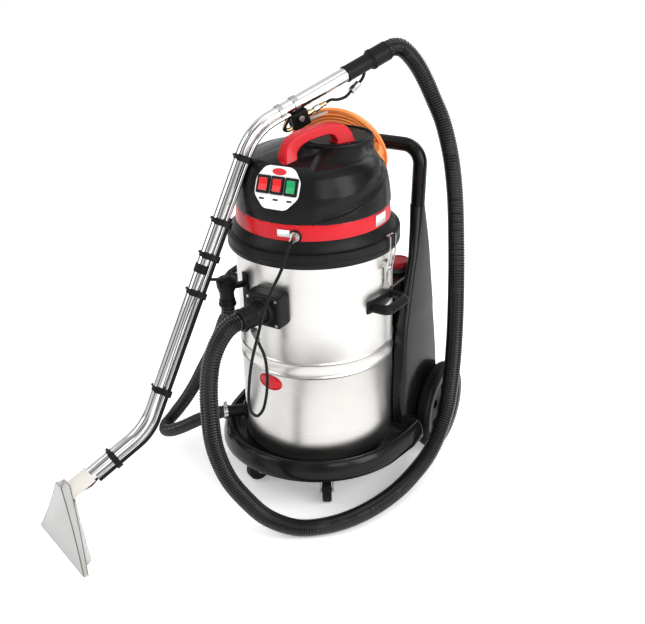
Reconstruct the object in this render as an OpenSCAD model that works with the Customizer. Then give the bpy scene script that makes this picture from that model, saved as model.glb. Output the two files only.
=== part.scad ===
// Wet pick-up carpet cleaner: a steel drum with a motor head on a moulded trolley that
// holds the solution tank, with its suction hose, wand and floor tool.
// Millimetres. Origin on the floor under the drum's axis, +Z up, -Y towards the
// castors, +Y towards the push handle.

/* [Drum] */
// Outer radius of the drum
drum_r = 215; // [205:1:218]
// Height of the drum's lower edge above the floor
drum_z = 136; // [132:1:140]
// Height of the drum's upper edge
drum_top = 745; // [735:1:745]
// Thickness of the drum's wall
drum_wall = 1; // [1:0.5:4]

/* [Trolley] */
// Radius of the platform at its lower edge
skirt_r = 286; // [280:1:292]
// Height of the skirt's lower edge
skirt_z = 118; // [115:1:120]
// Height of the platform's upper rim
rim_z = 172; // [168:1:176]
// Height of the push bar's centre line
bar_z = 924; // [910:1:930]
// Distance of the push bar behind the drum's axis
bar_y = 300; // [298:1:306]

/* [Wheels] */
// Radius of the rear wheels
wheel_r = 133; // [125:1:135]
// Width of the rear tyres
wheel_w = 44; // [36:1:45]
// Distance of the rear axle behind the drum's axis
axle_y = 262; // [255:1:265]
// Radius of the castor wheels
castor_r = 35; // [30:1:36]

/* [Hoses] */
// Outer diameter of the suction hose
hose_d = 48; // [40:1:50]
// Outer diameter of the drain hose
drain_d = 38; // [32:1:40]
// Outer diameter of the solution tube
tube_d = 8; // [6:0.5:9]
// Outer diameter of the mains lead
lead_d = 8.5; // [7:0.5:9]

/* [Wand] */
// Outer radius of the wand's tube
wand_r = 19; // [16:0.5:19]
// Half the width of the floor tool's lip
lip_half = 142; // [120:1:142]

/* [Hidden] */
$fn = 64;
white = [0.93, 0.93, 0.92];
black = [0.12, 0.12, 0.12];
grey = [0.4, 0.4, 0.4];
steel = [0.75, 0.75, 0.73];
red = [0.8, 0.08, 0.12];
orange = [0.95, 0.5, 0.2];
fit = 0.05;                 // radial clearance of every running fit
axle_r = 10;
axle_z = wheel_r;
wheel_in = 292 - wheel_w;   // inner face of the rear tyres
castor_x = 128;
castor_y = -186;
castor_trail = 24;
castor_turn = [63, 121];   // direction each castor trails in, left then right
latch_pivot = [221, 0, 690];
bail_pivot = [228, 0, 678];
cap_at = [132, 252];
cap_z = 572;
panel_az = -87;
panel_tilt = 24;
panel_at = [0, -184.4, 929.7];
rocker_pitch = 39.5;
cover_at = [38, 60];
cuff_dir = [0, 9.5, -116.6];
cuff_from = [-9, -252, 612];
drain_az = -140;
drain_z = 208;
drain_end_at = [-151, -212];
foot_at = [-36.8, 18.8];    // where the wand's plane passes the drum's axis
wand_turn = 62.94;          // direction of the wand's plane
pitch_top = 18.4;           // slope of the wand's upper length
pitch_main = 63.5;
pitch_low = 26.4;
bend_r = 150;
line_side = 68;             // how far round the wand from its underside the lines run
corner_top = [-152, 1046];  // where the upper and main lengths would meet
corner_low = [-530, 288];
tool_at = [-404, -700, 0];  // middle of the floor tool's lip
tool_turn = 67;

// ---------- helpers ----------
function unit(v) = v / norm(v);
function mid_dir(p, i) =
    i == 0 ? unit(p[1] - p[0]) :
    i == len(p) - 1 ? unit(p[i] - p[i - 1]) :
    unit(unit(p[i + 1] - p[i]) + unit(p[i] - p[i - 1]));
function ring_at(p, i, r, side, n) =
    let (t = mid_dir(p, i), a = unit(cross(t, side)), b = cross(t, a))
    [for (k = [0:n - 1]) p[i] + r * (cos(360 * k / n) * a + sin(360 * k / n) * b)];
// A closed tube along the points p; side is a direction it never runs along
module cord(p, d, side, n = 10) {
    rings = [for (i = [0:len(p) - 1]) each ring_at(p, i, d / 2, side, n)];
    last = (len(p) - 1) * n;
    polyhedron(rings, [
        [for (k = [0:n - 1]) k],
        for (i = [0:len(p) - 2], k = [0:n - 1])
            [i * n + k, (i + 1) * n + k, (i + 1) * n + (k + 1) % n, i * n + (k + 1) % n],
        [for (k = [n - 1:-1:0]) last + k]
    ]);
}
module ring(h, ro, ri) {
    difference() {
        cylinder(h = h, r = ro);
        translate([0, 0, -1]) cylinder(h = h + 2, r = ri);
    }
}
module pipe_x(h, ro, ri) {
    rotate([0, 90, 0]) ring(h, ro, ri);
}
module rod_x(h, r) {
    rotate([0, 90, 0]) cylinder(h = h, r = r);
}
module rounded_box(size, r) {
    linear_extrude(size[2]) offset(r) square([size[0] - 2 * r, size[1] - 2 * r], center = true);
}
module block(size) {
    translate([-size[0] / 2, -size[1] / 2, 0]) cube(size);
}
// Points of a flat route with every inner corner rounded to radius r, 8 to a bend
function corner_arc(a, b, c, r) =
    let (u = unit(a - b), v = unit(c - b), half = acos(u * v) / 2,
        mid = b + unit(u + v) * r / sin(half), reach = r / tan(half),
        p = b + u * reach - mid, q = b + v * reach - mid, turn = acos(unit(p) * unit(q)))
    [for (k = [0:7]) mid + (sin(turn * (7 - k) / 7) * p + sin(turn * k / 7) * q) / sin(turn)];
function rounded(p, r) = [p[0], for (i = [1:len(p) - 2]) each corner_arc(p[i - 1], p[i], p[i + 1], r),
    p[len(p) - 1]];
function upright(p) = [for (q = p) [q[0], 0, q[1]]];
// A flat route drop below the wand's centre line, from top s to low s
function below(first, last, drop) =
    let (t = corner_top[1] + (first - corner_top[0]) * tan(pitch_top),
        e = corner_low[1] + (last - corner_low[0]) * tan(pitch_low),
        a = [sin(pitch_top), -cos(pitch_top)] * drop,
        b = [sin(pitch_main), -cos(pitch_main)],
        c = [sin(pitch_low), -cos(pitch_low)] * drop,
        half_top = (pitch_main - pitch_top) / 2,
        half_low = (pitch_main - pitch_low) / 2,
        mid_top = (pitch_main + pitch_top) / 2,
        mid_low = (pitch_main + pitch_low) / 2)
    [[first, t] + a,
        corner_top + [sin(mid_top), -cos(mid_top)] * drop / cos(half_top),
        corner_low + [sin(mid_low), -cos(mid_low)] * drop / cos(half_low),
        [last, e] + c];
module both_sides() {
    children();
    mirror([1, 0, 0]) children();
}

// ---------- trolley ----------
module rear_plan(grow = 0) {
    polygon([[0, -60], [skirt_r - 22 + grow, -60], [296 + grow, 42], [296 + grow, 96],
        [wheel_in - 8 + grow, 130], [wheel_in - 8 + grow, 330 + grow],
        [-wheel_in + 8 - grow, 330 + grow], [-wheel_in + 8 - grow, 130], [-296 - grow, 96],
        [-296 - grow, 42], [-skirt_r + 22 - grow, -60]]);
}
module trolley_base() {
    color(black) difference() {
        union() {
            translate([0, 0, skirt_z]) cylinder(h = rim_z - skirt_z, r1 = skirt_r, r2 = skirt_r - 16);
            translate([0, 0, skirt_z]) linear_extrude(rim_z - skirt_z) rear_plan();
            both_sides() translate([castor_x, castor_y, 112]) cylinder(h = 20, r = 24);
        }
        // drum seat and trough, then the hollow underside
        translate([0, 0, drum_z]) cylinder(h = 60, r = skirt_r - 30);
        translate([0, 0, skirt_z - 10]) difference() {
            union() {
                cylinder(h = 22, r = skirt_r - 8);
                linear_extrude(48) intersection() {
                    rear_plan(-6);
                    translate([-400, 214]) square([800, 400]);
                }
            }
            both_sides() translate([castor_x, castor_y, -1]) cylinder(h = 40, r = 30);
            both_sides() translate([wheel_in - 40, axle_y - 30, -1]) cube([60, 60, 80]);
        }
        both_sides() translate([castor_x, castor_y, 90]) cylinder(h = 32, r = 6 + fit);
        translate([-400, axle_y, axle_z]) rod_x(800, axle_r);
        both_sides() translate([wheel_in - 4, axle_y, axle_z]) rod_x(100, wheel_r + 4);
    }
}
module drum_room() {
    translate([0, 0, rim_z - 60]) cylinder(h = 900, r = drum_r + 5);
}
module solution_tank() {
    color(black) difference() {
        translate([0, 0, rim_z]) union() {
            translate([-189, 60, 0]) cube([378, 240, 300]);
            translate([-186, 60, 299]) cube([372, 240, 89]);
        }
        drum_room();
        difference() {
            translate([-180, 70, rim_z + 8]) cube([360, 222, 372]);
            translate([0, 0, rim_z]) cylinder(h = 400, r = drum_r + 13);
        }
        translate([cap_at[0], cap_at[1], rim_z + 300]) cylinder(h = 100, r = 24);
    }
}
// One tapering side pillar between the platform and the push bar
module pillar_slice(z, x_in, x_out, y_front, y_back) {
    translate([(x_in + x_out) / 2, (y_front + y_back) / 2, z])
        rounded_box([x_out - x_in, y_back - y_front, 1], 9, $fn = 24);
}
module pillar() {
    levels = [[rim_z, 190, 246.5, 58, 303], [290, 190, 243, 58, 303], [455, 190, 229, 112, 303],
        [625, 187, 214, 196, 303]];
    difference() {
        for (i = [0:2]) hull() {
            pillar_slice(levels[i][0], levels[i][1], levels[i][2], levels[i][3], levels[i][4]);
            pillar_slice(levels[i + 1][0], levels[i + 1][1], levels[i + 1][2],
                levels[i + 1][3], levels[i + 1][4]);
        }
        drum_room();
    }
}
module side_pillars() {
    color(black) both_sides() pillar();
}
module push_bar() {
    side = 178;
    color(black) cord(rounded([[-side, bar_y - 18, 774], [-side, bar_y, bar_z], [side, bar_y, bar_z],
        [side, bar_y - 18, 774]], 50), 40, [0, 1, -0.12], 16);
    color(black) both_sides() hull() {
        translate([side, bar_y - 18, 770]) cylinder(h = 6, r = 20.5, $fn = 32);
        pillar_slice(626, 187, 214, 196, 303);
    }
}
module tank_neck() {
    color(grey) translate([cap_at[0], cap_at[1], rim_z + 388]) difference() {
        union() {
            cylinder(h = 4, r = 33);
            cylinder(h = 12, r = 28);
        }
        translate([0, 0, -1]) cylinder(h = 30, r = 23);
    }
}
module cap_gasket() {
    color(black) translate([cap_at[0], cap_at[1], cap_z]) ring(3, 30, 24);
}
module filler_cap() {
    color(red) translate([cap_at[0], cap_at[1], cap_z + 3]) difference() {
        union() {
            cylinder(h = 14, r = 36);
            translate([0, 0, 13]) cylinder(h = 5, r1 = 33, r2 = 26);
            for (a = [0:30:330]) rotate(a) translate([35, 0, 0]) cylinder(h = 13, r = 3);
        }
        translate([0, 0, -1]) cylinder(h = 9, r = 31);
    }
}

// ---------- wheels ----------
module rear_axle() {
    color(steel) translate([-294, axle_y, axle_z]) rod_x(588, axle_r);
}
module axle_caps() {
    color(black) both_sides() translate([294, axle_y, axle_z]) rod_x(5, 17);
}
module tyre() {
    translate([wheel_in, axle_y, axle_z]) rotate([0, 90, 0]) rotate_extrude($fn = 96)
        polygon([[104, 2], [118, 0], [126, 2], [wheel_r, 10], [wheel_r, wheel_w - 10],
            [126, wheel_w - 2], [118, wheel_w], [104, wheel_w - 2]]);
}
module hub() {
    translate([wheel_in, axle_y, axle_z]) rotate([0, 90, 0]) difference() {
        rotate_extrude($fn = 96) polygon([[axle_r + fit, 0], [30, 0], [34, 14], [92, 14], [96, 2],
            [104, 2], [104, wheel_w - 2], [96, wheel_w - 2], [90, wheel_w - 14],
            [34, wheel_w - 8], [30, wheel_w], [axle_r + fit, wheel_w]]);
        for (a = [0:60:300]) rotate(a) translate([63, 0, -5]) cylinder(h = 80, r = 13);
    }
}
module left_tyre() {
    color(black) mirror([1, 0, 0]) tyre();
}
module right_tyre() {
    color(black) tyre();
}
module left_hub() {
    color(black) mirror([1, 0, 0]) hub();
}
module right_hub() {
    color(black) hub();
}
module castor_place(side) {
    translate([side * castor_x, castor_y, 0]) rotate(castor_turn[side < 0 ? 0 : 1]) children();
}
module castor_fork(side) {
    castor_place(side) {
        translate([0, 0, 96]) cylinder(h = 25, r = 6);
        translate([0, 0, 104]) cylinder(h = 7, r = 22);
        translate([0, 0, 78]) difference() {
            union() {
                cylinder(h = 27, r = 21);
                translate([0, -20, -10]) cube([castor_trail + 8, 40, 37]);
            }
            translate([-60, -15.5, -20]) cube([140, 31, 42]);
        }
        for (s = [-1, 1]) translate([castor_trail, s * 18, castor_r]) rotate([90, 0, 0]) {
            translate([0, 0, -2.3]) linear_extrude(4.6) hull() {
                circle(9, $fn = 32);
                translate([-castor_trail / 2, 40]) square([castor_trail + 6, 6], center = true);
            }
        }
        translate([castor_trail, 20, castor_r]) rotate([90, 0, 0]) cylinder(h = 40, r = 4);
    }
}
module castor_wheel(side) {
    castor_place(side) translate([castor_trail, 13, castor_r]) rotate([90, 0, 0])
        rotate_extrude() polygon([[4 + fit, -1], [10, -1], [12, 1], [24, 1], [26, 0],
            [32, 0], [castor_r, 4], [castor_r, 22], [32, 26], [26, 26], [24, 25], [12, 25],
            [10, 27], [4 + fit, 27]]);
}
module left_castor_fork() {
    color(grey) castor_fork(-1);
}
module right_castor_fork() {
    color(grey) castor_fork(1);
}
module left_castor_wheel() {
    color(black) castor_wheel(-1);
}
module right_castor_wheel() {
    color(black) castor_wheel(1);
}

// ---------- drum ----------
module on_drum(az, z = 0) {
    rotate(az) translate([0, 0, z]) children();
}
module drum_shell() {
    color(steel) difference() {
        rotate_extrude($fn = 128) polygon([[0, drum_z], [drum_r - 6, drum_z], [drum_r, drum_z + 6],
            [drum_r, 402], [drum_r + 3, 404], [drum_r + 3, 408], [drum_r, 410], [drum_r, 442],
            [drum_r + 3, 444], [drum_r + 3, 448], [drum_r, 450], [drum_r, drum_top],
            [drum_r - drum_wall, drum_top],
            [drum_r - drum_wall, drum_z + 6 + drum_wall * 0.414],
            [drum_r - 6 - drum_wall * 0.414, drum_z + drum_wall], [0, drum_z + drum_wall]]);
        on_drum(-92, 612) rod_x(300, 20);
        on_drum(drain_az, drain_z) rod_x(300, 14);
    }
}
module inlet_box() {
    color(black) difference() {
        on_drum(-92, 567) union() {
            translate([196, -54, 0]) cube([62, 108, 90]);
            translate([257, 0, 45]) rod_x(4, 34);
        }
        translate([0, 0, 500]) cylinder(h = 300, r = drum_r + 0.2);
        on_drum(-92, 612) rod_x(300, 19);
        translate(cuff_from) rotate(cuff_dir) translate([-4.2, 0, 0]) rod_x(90, 30.3);
    }
}
module inlet_deflector() {
    color(black) intersection() {
        on_drum(-92, 612) difference() {
            translate([150, 0, 0]) rod_x(70, 26);
            translate([160, 0, 0]) rod_x(70, 20);
            translate([149, -30, -60]) cube([40, 60, 60]);
        }
        translate([0, 0, 500]) cylinder(h = 200, r = drum_r - drum_wall);
    }
}
module side_handle() {
    difference() {
        on_drum(-3, 573) translate([0, 0, 0]) difference() {
            union() {
                translate([200, -62, 0]) cube([20, 124, 26]);
                translate([219, -58, 2]) cube([50, 116, 22]);
            }
            translate([229, -42, -10]) cube([26, 84, 60]);
        }
        translate([0, 0, 500]) cylinder(h = 200, r = drum_r + 0.2);
    }
}
module side_handles() {
    color(black) both_sides() side_handle();
}
module latch_brackets() {
    color(steel) both_sides() for (s = [-1, 1]) difference() {
        translate([214.9, s * 9.5 - 1.5, 683]) cube([11.1, 3, 17]);
        translate([latch_pivot[0], -20, latch_pivot[2]]) rotate([-90, 0, 0]) cylinder(h = 40, r = 3 + fit);
    }
}
module latch_lever() {
    difference() {
        translate([0, 7, 0]) rotate([90, 0, 0]) linear_extrude(14)
            polygon([[217.8, 694], [224, 694], [226, 685], [231, 681], [231, 674], [225, 672],
                [222.5, 640], [229, 622], [226, 620], [218.5, 638], [217.8, 672]]);
        translate(bail_pivot + [0, -30, 0]) rotate([-90, 0, 0]) cylinder(h = 60, r = 2 + fit);
    }
    translate(latch_pivot + [0, -10.5, 0]) rotate([-90, 0, 0]) cylinder(h = 21, r = 3);
}
// Wire loop from the lever's pin up over the head's lip
module latch_bail() {
    translate(bail_pivot + [0, -17, 0]) rotate([-90, 0, 0]) cylinder(h = 34, r = 2);
    for (y = [-13, 17]) translate([0, y, 0]) rotate([90, 0, 0]) linear_extrude(4)
        polygon([[225.5, 675.5], [230.5, 675.5], [241, 727], [241, 775], [226, 775],
            [226, 770.5], [237, 770.5], [237, 728]]);
    translate([226, -17, 770.5]) cube([5, 34, 4.5]);
}
module right_latch_lever() {
    color(steel) latch_lever();
}
module left_latch_lever() {
    color(steel) mirror([1, 0, 0]) latch_lever();
}
module right_latch_bail() {
    color(steel) latch_bail();
}
module left_latch_bail() {
    color(steel) mirror([1, 0, 0]) latch_bail();
}
module drain_outlet() {
    color(black) difference() {
        union() {
            on_drum(drain_az, drain_z) {
                translate([drum_r - 6, 0, 0]) rod_x(12, 27);
                translate([drum_r, 0, 0]) rod_x(52, 17);
                translate([drum_r + 6, 0, 0]) rod_x(14, 22);
            }
        }
        translate([0, 0, 150]) cylinder(h = 200, r = drum_r + 0.2);
        on_drum(drain_az, drain_z) rod_x(300, 13);
    }
}
module drain_end() {
    color(black) {
        translate([drain_end_at[0], drain_end_at[1], 580]) {
            ring(20, 24, 13);
            translate([0, 0, 19]) ring(26, 20, 13);
            translate([0, 0, 44]) ring(8, 23, 13);
        }
        difference() {
            union() {
                on_drum(-118, 568) translate([drum_r - 6, -14, 0]) cube([11, 28, 108]);
                on_drum(-123, 604) translate([drum_r - 2, -9, 0]) cube([30, 18, 12]);
            }
            translate([0, 0, 500]) cylinder(h = 300, r = drum_r + 0.2);
            translate([drain_end_at[0], drain_end_at[1], 500]) cylinder(h = 300, r = 19.9);
        }
    }
}
module drain_cap() {
    color(black) translate([drain_end_at[0], drain_end_at[1], 632.4]) {
        cylinder(h = 24, r = 26);
        translate([0, 0, 23]) cylinder(h = 6, r1 = 25, r2 = 16);
        translate([0, 0, -16]) cylinder(h = 17, r = 13 - fit);
    }
}

// ---------- head ----------
module head_base() {
    color(black) difference() {
        rotate_extrude($fn = 128) difference() {
            polygon([[60, 748], [drum_r + 4, 748], [drum_r + 4, 729], [233, 729], [234.7, 731],
                [234.7, 765], [233, 768], [223, 768], [223, 774], [222, 778], [211, 797],
                [60, 797]]);
            polygon([[0, 756], [200, 756], [200, 800], [0, 800]]);
        }
        for (x = [-80, 80]) translate([x, 0, 700]) cylinder(h = 80, r = 40);
    }
}
module head_gasket() {
    color(grey) translate([0, 0, drum_top]) ring(3, drum_r + 2, drum_r - 12);
}
module exhaust_band() {
    color(red) difference() {
        rotate_extrude($fn = 128) polygon([[209, 797], [206, 839], [202, 839], [205, 797]]);
        on_drum(-72, 812) rod_x(300, 9.2);
    }
}
dome_profile = [[206, 839], [206, 858], [203.5, 880], [199, 905], [192, 928], [182, 950],
    [172, 963], [158, 974], [152, 976]];
module dome_cover() {
    color(black) difference() {
        rotate_extrude($fn = 128) difference() {
            polygon([each dome_profile, [96, 978], [88, 994], [0, 994], [0, 991], [86, 991],
                [94, 975.5], [150, 973],
                for (i = [len(dome_profile) - 2:-1:1]) dome_profile[i] - [3, 1], [203, 839]]);
            square([1, 980]);
        }
        // flat for the switch panel
        on_panel() translate([-90, -62, 0]) cube([180, 130, 60]);
        on_panel() translate([-60, -18, -20]) cube([120, 40, 24]);
        translate([cover_at[0], cover_at[1], 900]) cylinder(h = 200, r = 96);
    }
}
module on_panel() {
    rotate(panel_az + 90) translate(panel_at) rotate([90 - panel_tilt, 0, 0]) children();
}
module motor_cover() {
    color(black) translate([cover_at[0], cover_at[1], 0]) {
        translate([0, 0, 994]) cylinder(h = 5, r = 104);
        translate([0, 0, 994]) ring(8, 104, 97);
        translate([0, 0, 960]) ring(35, 95.7, 92);
    }
}
module carry_handle() {
    color(red) translate([2, -122, 0]) rotate([90, 0, 61]) {
        translate([0, 0, -17]) linear_extrude(34)
            polygon([[-18, 978], [-15, 1000], [4, 1028], [30, 1042], [60, 1051], [110, 1056],
                [150, 1052], [180, 1034], [195, 1012], [195, 999], [140, 999], [138, 1010],
                [128, 1026], [110, 1030], [60, 1024], [34, 1012], [21, 996], [18, 978]]);
    }
}
module panel_outline(shrink = 0) {
    offset(10) offset(-10 - shrink) polygon([[-32, -58], [32, -58], [63, -24], [63, 18],
        [40, 51], [-40, 51], [-63, 18], [-63, -24]]);
}
module control_panel() {
    on_panel() {
        color(white) linear_extrude(2.5) difference() {
            panel_outline();
            for (i = [-1:1]) translate([i * rocker_pitch, 2]) square([29, 37], center = true);
        }
        color(black) for (i = [-1:1]) translate([i * rocker_pitch, 2, 2.5]) difference() {
            rounded_box([37, 46, 3], 2, $fn = 24);
            translate([0, 0, -30]) block([25, 33, 60]);
        }
        color(black) for (i = [-1:1]) translate([i * rocker_pitch, 2, -18]) difference() {
            block([29, 37, 20.5]);
            translate([0, 0, 1]) block([25, 33, 30]);
        }
    }
}
module rocker(i) {
    on_panel() translate([i * rocker_pitch, 2, 0]) {
        difference() {
            translate([-12, 0, 2]) rotate([0, 90, 0]) linear_extrude(24)
                polygon([[-5.6, -15.4], [-4, 0], [-7.6, 15.2], [4, 14], [7, 3], [7, -3], [4, -14]]);
            translate([-20, 0, 0]) rod_x(40, 1.5 + fit);
        }
    }
}
module left_rocker() {
    color(red) rocker(-1);
}
module middle_rocker() {
    color(red) rocker(0);
}
module right_rocker() {
    color([0.05, 0.6, 0.3]) rocker(1);
}
module vacuum_motors() {
    color(steel) for (x = [-80, 80]) translate([x, 0, 756]) difference() {
        union() {
            cylinder(h = 46, r = 60);
            translate([0, 0, 45]) cylinder(h = 60, r = 42);
            translate([0, 0, 104]) cylinder(h = 12, r = 14);
        }
        translate([0, 0, 4]) cylinder(h = 38, r = 56);
        translate([0, 0, 41]) cylinder(h = 60, r = 38);
    }
}
module solution_pump() {
    color(black) translate([70, -150, 756]) {
        translate([-22, -22, 0]) cube([44, 44, 50]);
        translate([0, 0, 49]) cylinder(h = 26, r = 18);
    }
}
module float_cage() {
    color(black) difference() {
        translate([0, 0, 640]) {
            cylinder(h = 107.5, r = 58);
            translate([0, 0, 105]) cylinder(h = 3, r = 66);
        }
        translate([0, 0, 643]) cylinder(h = 120, r = 54);
        for (a = [0:45:315]) rotate(a) translate([30, -10, 655]) cube([60, 20, 70]);
    }
}
module float_ball() {
    color(white) translate([0, 0, 672]) sphere(28);
}
module pump_outlet() {
    color(steel) on_drum(-72, 812) {
        translate([190, 0, 0]) rod_x(32, 9);
        translate([209, 0, 0]) rod_x(9, 13);
        translate([220, 0, 0]) rod_x(26, 7);
    }
}
module head_screws() {
    color(steel) for (a = [-35:45:235]) translate([cover_at[0], cover_at[1], 999]) rotate(a)
        translate([84, 0, 0]) cylinder(h = 2, r = 4);
}

// ---------- hoses and leads ----------
hose_route = [[88.9, 264.7, 1188.5], [96.6, 279.8, 1194.1], [112, 303, 1190], [129, 319, 1170],
    [148, 334, 1138], [168, 345, 1096], [190, 350, 1048], [221, 345, 990], [260, 318, 904],
    [290, 284, 813], [314, 248, 690], [328, 225, 570], [337, 205, 419], [339, 186, 291],
    [336, 155, 175], [326, 86, 90], [309, -3, 50], [290, -100, 35], [250, -214, 29],
    [194, -292, 25], [124, -345, 27], [65, -393, 70], [28, -432, 139], [-6, -462, 219],
    [-31, -474, 311], [-41, -470, 399], [-50, -452, 481], [-57, -419, 541], [-57, -370, 582],
    [-50.6, -335, 596.5], [-40.9, -315.7, 600]];
solution_route = [[76.1, -234.2, 812], [79.7, -245.4, 812], [80, -254, 804], [76, -264, 782],
    [68, -276, 748], [52, -298, 700], [36, -316, 645], [22, -327, 580], [6, -337, 510], [-5, -342, 436], [-11, -339, 375],
    [-9, -331, 345], [-1, -320, 331], [8, -308, 342], [15, -295, 385], [16, -287, 440],
    [6, -280, 495], [-8, -278.5, 521.5], [-8, -285.9, 539.8]];
drain_route = [[-204.7, -171.8, 208], [-223.7, -187.7, 208], [-250, -203, 198], [-285, -214, 180],
    [-345, -218, 140], [-400, -207, 105], [-445, -182, 82], [-464, -150, 80], [-455, -122, 100],
    [-420, -110, 150], [-372, -114, 220], [-322, -125, 300], [-270, -140, 380],
    [-222, -163, 455], [-180, -190, 520], [-158, -205, 545], [-151, -212, 560],
    [-151, -212, 579.8]];
lead_route = [[-30, 206.5, 856], [-37, 222, 851], [-50, 236, 843], [-63.5, 247, 832],
    [-67, 251.5, 820]];
tube_top_route = [[75.3, 0, 1077.4], [92, 0, 1082.9], [114, 0, 1080], [140.8, 0, 1084.2],
    [156.9, 0, 1095.9]];
coil_at = [-42, 222, 905];
coil_tilt = 112;
coil_az = 12;
module vacuum_hose() {
    color(black) cord(hose_route, hose_d, unit([-0.5, 0.86, 0]), 12);
}
module inlet_cuff() {
    color(black) {
        translate(cuff_from) rotate(cuff_dir) {
            translate([-4, 0, 0]) pipe_x(73, 30, 20);
            translate([69, 0, 0]) pipe_x(3, 31.5, 20);
        }
        translate([-8, -286, 540]) rotate([0, -22, 90]) cylinder(h = 40, r1 = 6, r2 = 9);
    }
}
module solution_tube() {
    color(black) cord(solution_route, tube_d, unit([-0.6, 0.8, 0]), 8);
}
module drain_hose() {
    color(black) cord(drain_route, drain_d, unit([0.3, 0.9, -0.5]), 10);
}
module mains_lead() {
    color(orange) cord(lead_route, lead_d, unit([0.3, 0.2, 0.95]), 8);
}
module mains_coil() {
    color(orange) translate(coil_at) rotate([coil_tilt, 0, coil_az]) translate([0, 0, -9])
        rotate_extrude($fn = 96) translate([95, 0]) square([47, 18]);
}
module mains_plug() {
    color(orange) translate(coil_at) rotate([coil_tilt, 0, coil_az]) rotate(16) translate([128, 0, 10]) {
        translate([0, 0, 16]) rotate([0, 0, -80]) {
            translate([-24, 0, 0]) rod_x(34, 16);
            translate([9, 0, 0]) rod_x(24, 10);
        }
    }
    color(steel) translate(coil_at) rotate([coil_tilt, 0, coil_az]) rotate(16) translate([128, 0, 26])
        rotate([0, 0, -80]) for (s = [-1, 1]) translate([-43, s * 9.5, 0]) rod_x(20, 2.4);
}

// ---------- wand ----------
module wand_plane() {
    translate([foot_at[0], foot_at[1], 0]) rotate(wand_turn) children();
}
// Places on the wand's three lengths, +X down the wand and +Z away from its underside
module on_top_length(s) {
    wand_plane() translate([s, 0, corner_top[1] + (s - corner_top[0]) * tan(pitch_top)])
        rotate([0, pitch_top, 180]) children();
}
module on_main_length(z) {
    wand_plane() translate([corner_low[0] + (z - corner_low[1]) / tan(pitch_main), 0, z])
        rotate([0, pitch_main, 180]) children();
}
module on_low_length(s) {
    wand_plane() translate([s, 0, corner_low[1] + (s - corner_low[0]) * tan(pitch_low)])
        rotate([0, pitch_low, 180]) children();
}
module wand_tube() {
    color(steel) wand_plane() difference() {
        cord(upright(rounded(below(222, -712, 0), bend_r)), 2 * wand_r, [0, 1, 0], 24);
        cord(upright(rounded(below(223, -713, 0), bend_r)), 2 * wand_r - 3, [0, 1, 0], 24);
    }
}
module wand_cuff() {
    color(black) on_top_length(276) {
        pipe_x(61, 26.5, wand_r + 0.5);
        translate([60, 0, 0]) pipe_x(85, 21.5, wand_r + 0.02);
        translate([50, 0, 0]) pipe_x(8, 28, 26);
        pipe_x(12, wand_r + 1, 15);
    }
}
module clip(reach = 42) {
    rotate([line_side, 0, 0]) {
        pipe_x(12, wand_r + 2.5, wand_r);
        translate([0, -9, -reach]) cube([12, 18, reach - 20]);
        translate([6, 0, wand_r + 1]) cylinder(h = 9, r = 4);
        translate([6, 0, wand_r + 5]) cylinder(h = 6, r = 6.5, $fn = 6);
    }
}
module clip_holes() {
    rotate([line_side, 0, 0]) {
        translate([-5, 0, -25.2]) rod_x(40, 5.4);
        translate([-5, 0, -34.6]) rod_x(40, 4.5);
    }
}
module wand_fittings() {
    color(black) {
        for (z = [985, 830, 745, 652, 400]) on_main_length(z) difference() {
            clip(z > 900 ? 31.5 : 42);
            clip_holes();
        }
        on_main_length(714) pipe_x(24, wand_r + 1.1, wand_r);
        on_low_length(-625) difference() {
            clip();
            clip_holes();
        }
    }
    color(grey) wand_plane() translate([157, 0, 1096]) rotate([0, -36, 0]) rod_x(30, 11, $fn = 6);
    color(black) wand_plane() translate([180, 0, 1113]) rotate([0, -36, 0]) rod_x(34, 4);
}
function line_points(first, out) = below(first, -690, cos(line_side) * out);
module wand_line(points, out, d) {
    wand_plane() translate([0, -sin(line_side) * out, 0])
        cord(upright(rounded(points, bend_r - 15)), d, [0, 1, 0], 8);
}
module wand_lines() {
    low = line_points(-100, 34.6);
    color(steel) wand_line(line_points(-52.8, 25.2), 25.2, 9.8);
    color(black) wand_line([low[1] + (low[2] - low[1]) * 0.27, low[2], low[3]], 34.6, 7.8);
    color(black) wand_plane() cord(tube_top_route, tube_d, [0, 1, 0], 8);
}
module spray_valve() {
    color(black) on_top_length(-22) translate([0, 0, -44]) difference() {
        translate([-24, -15, -20]) cube([50, 30, 44]);
        translate([-25, -6, -21]) cube([20, 12, 16]);
        translate([-14.82, 0, -12.83]) rotate([90, 0, 0])
            translate([0, 0, -30]) cylinder(h = 60, r = 2.5 + fit);
    }
    color(grey) on_top_length(-22) translate([-8, 0, 0]) {
        pipe_x(16, wand_r + 3, wand_r);
        translate([0, -13, -34]) cube([16, 4, 17]);
        translate([0, 9, -34]) cube([16, 4, 17]);
    }
    color(steel) {
        on_top_length(1) translate([0, 0, -42]) rotate([0, 0, 180]) {
            rod_x(14, 8);
            translate([13, 0, 0]) rod_x(34, 6);
            translate([46, 0, 0]) rod_x(18, 5);
        }
        on_top_length(-46) {
            translate([-5.8, 14, -50]) cube([12, 14.4, 30]);
            translate([-5.8, 19.6, -21]) cube([12, 8.8, 17]);
        }
    }
}
module spray_trigger() {
    color(steel) wand_plane() {
        translate([10, -10, 1040]) rotate([-90, 0, 0]) cylinder(h = 20, r = 2.5);
        translate([0, 3, 0]) rotate([90, 0, 0]) linear_extrude(6) polygon([[5, 1043], [4, 1037],
            [10, 1034.5], [34, 1042], [80, 1051], [79, 1055], [32, 1047.5]]);
    }
}
module coupler_sleeve() {
    color(steel) on_top_length(1) translate([0, 0, -42]) rotate([0, 0, 180])
        translate([24, 0, 0]) pipe_x(16, 9, 6 + fit);
}
module tool_frame() {
    translate(tool_at) rotate(tool_turn) children();
}
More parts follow.
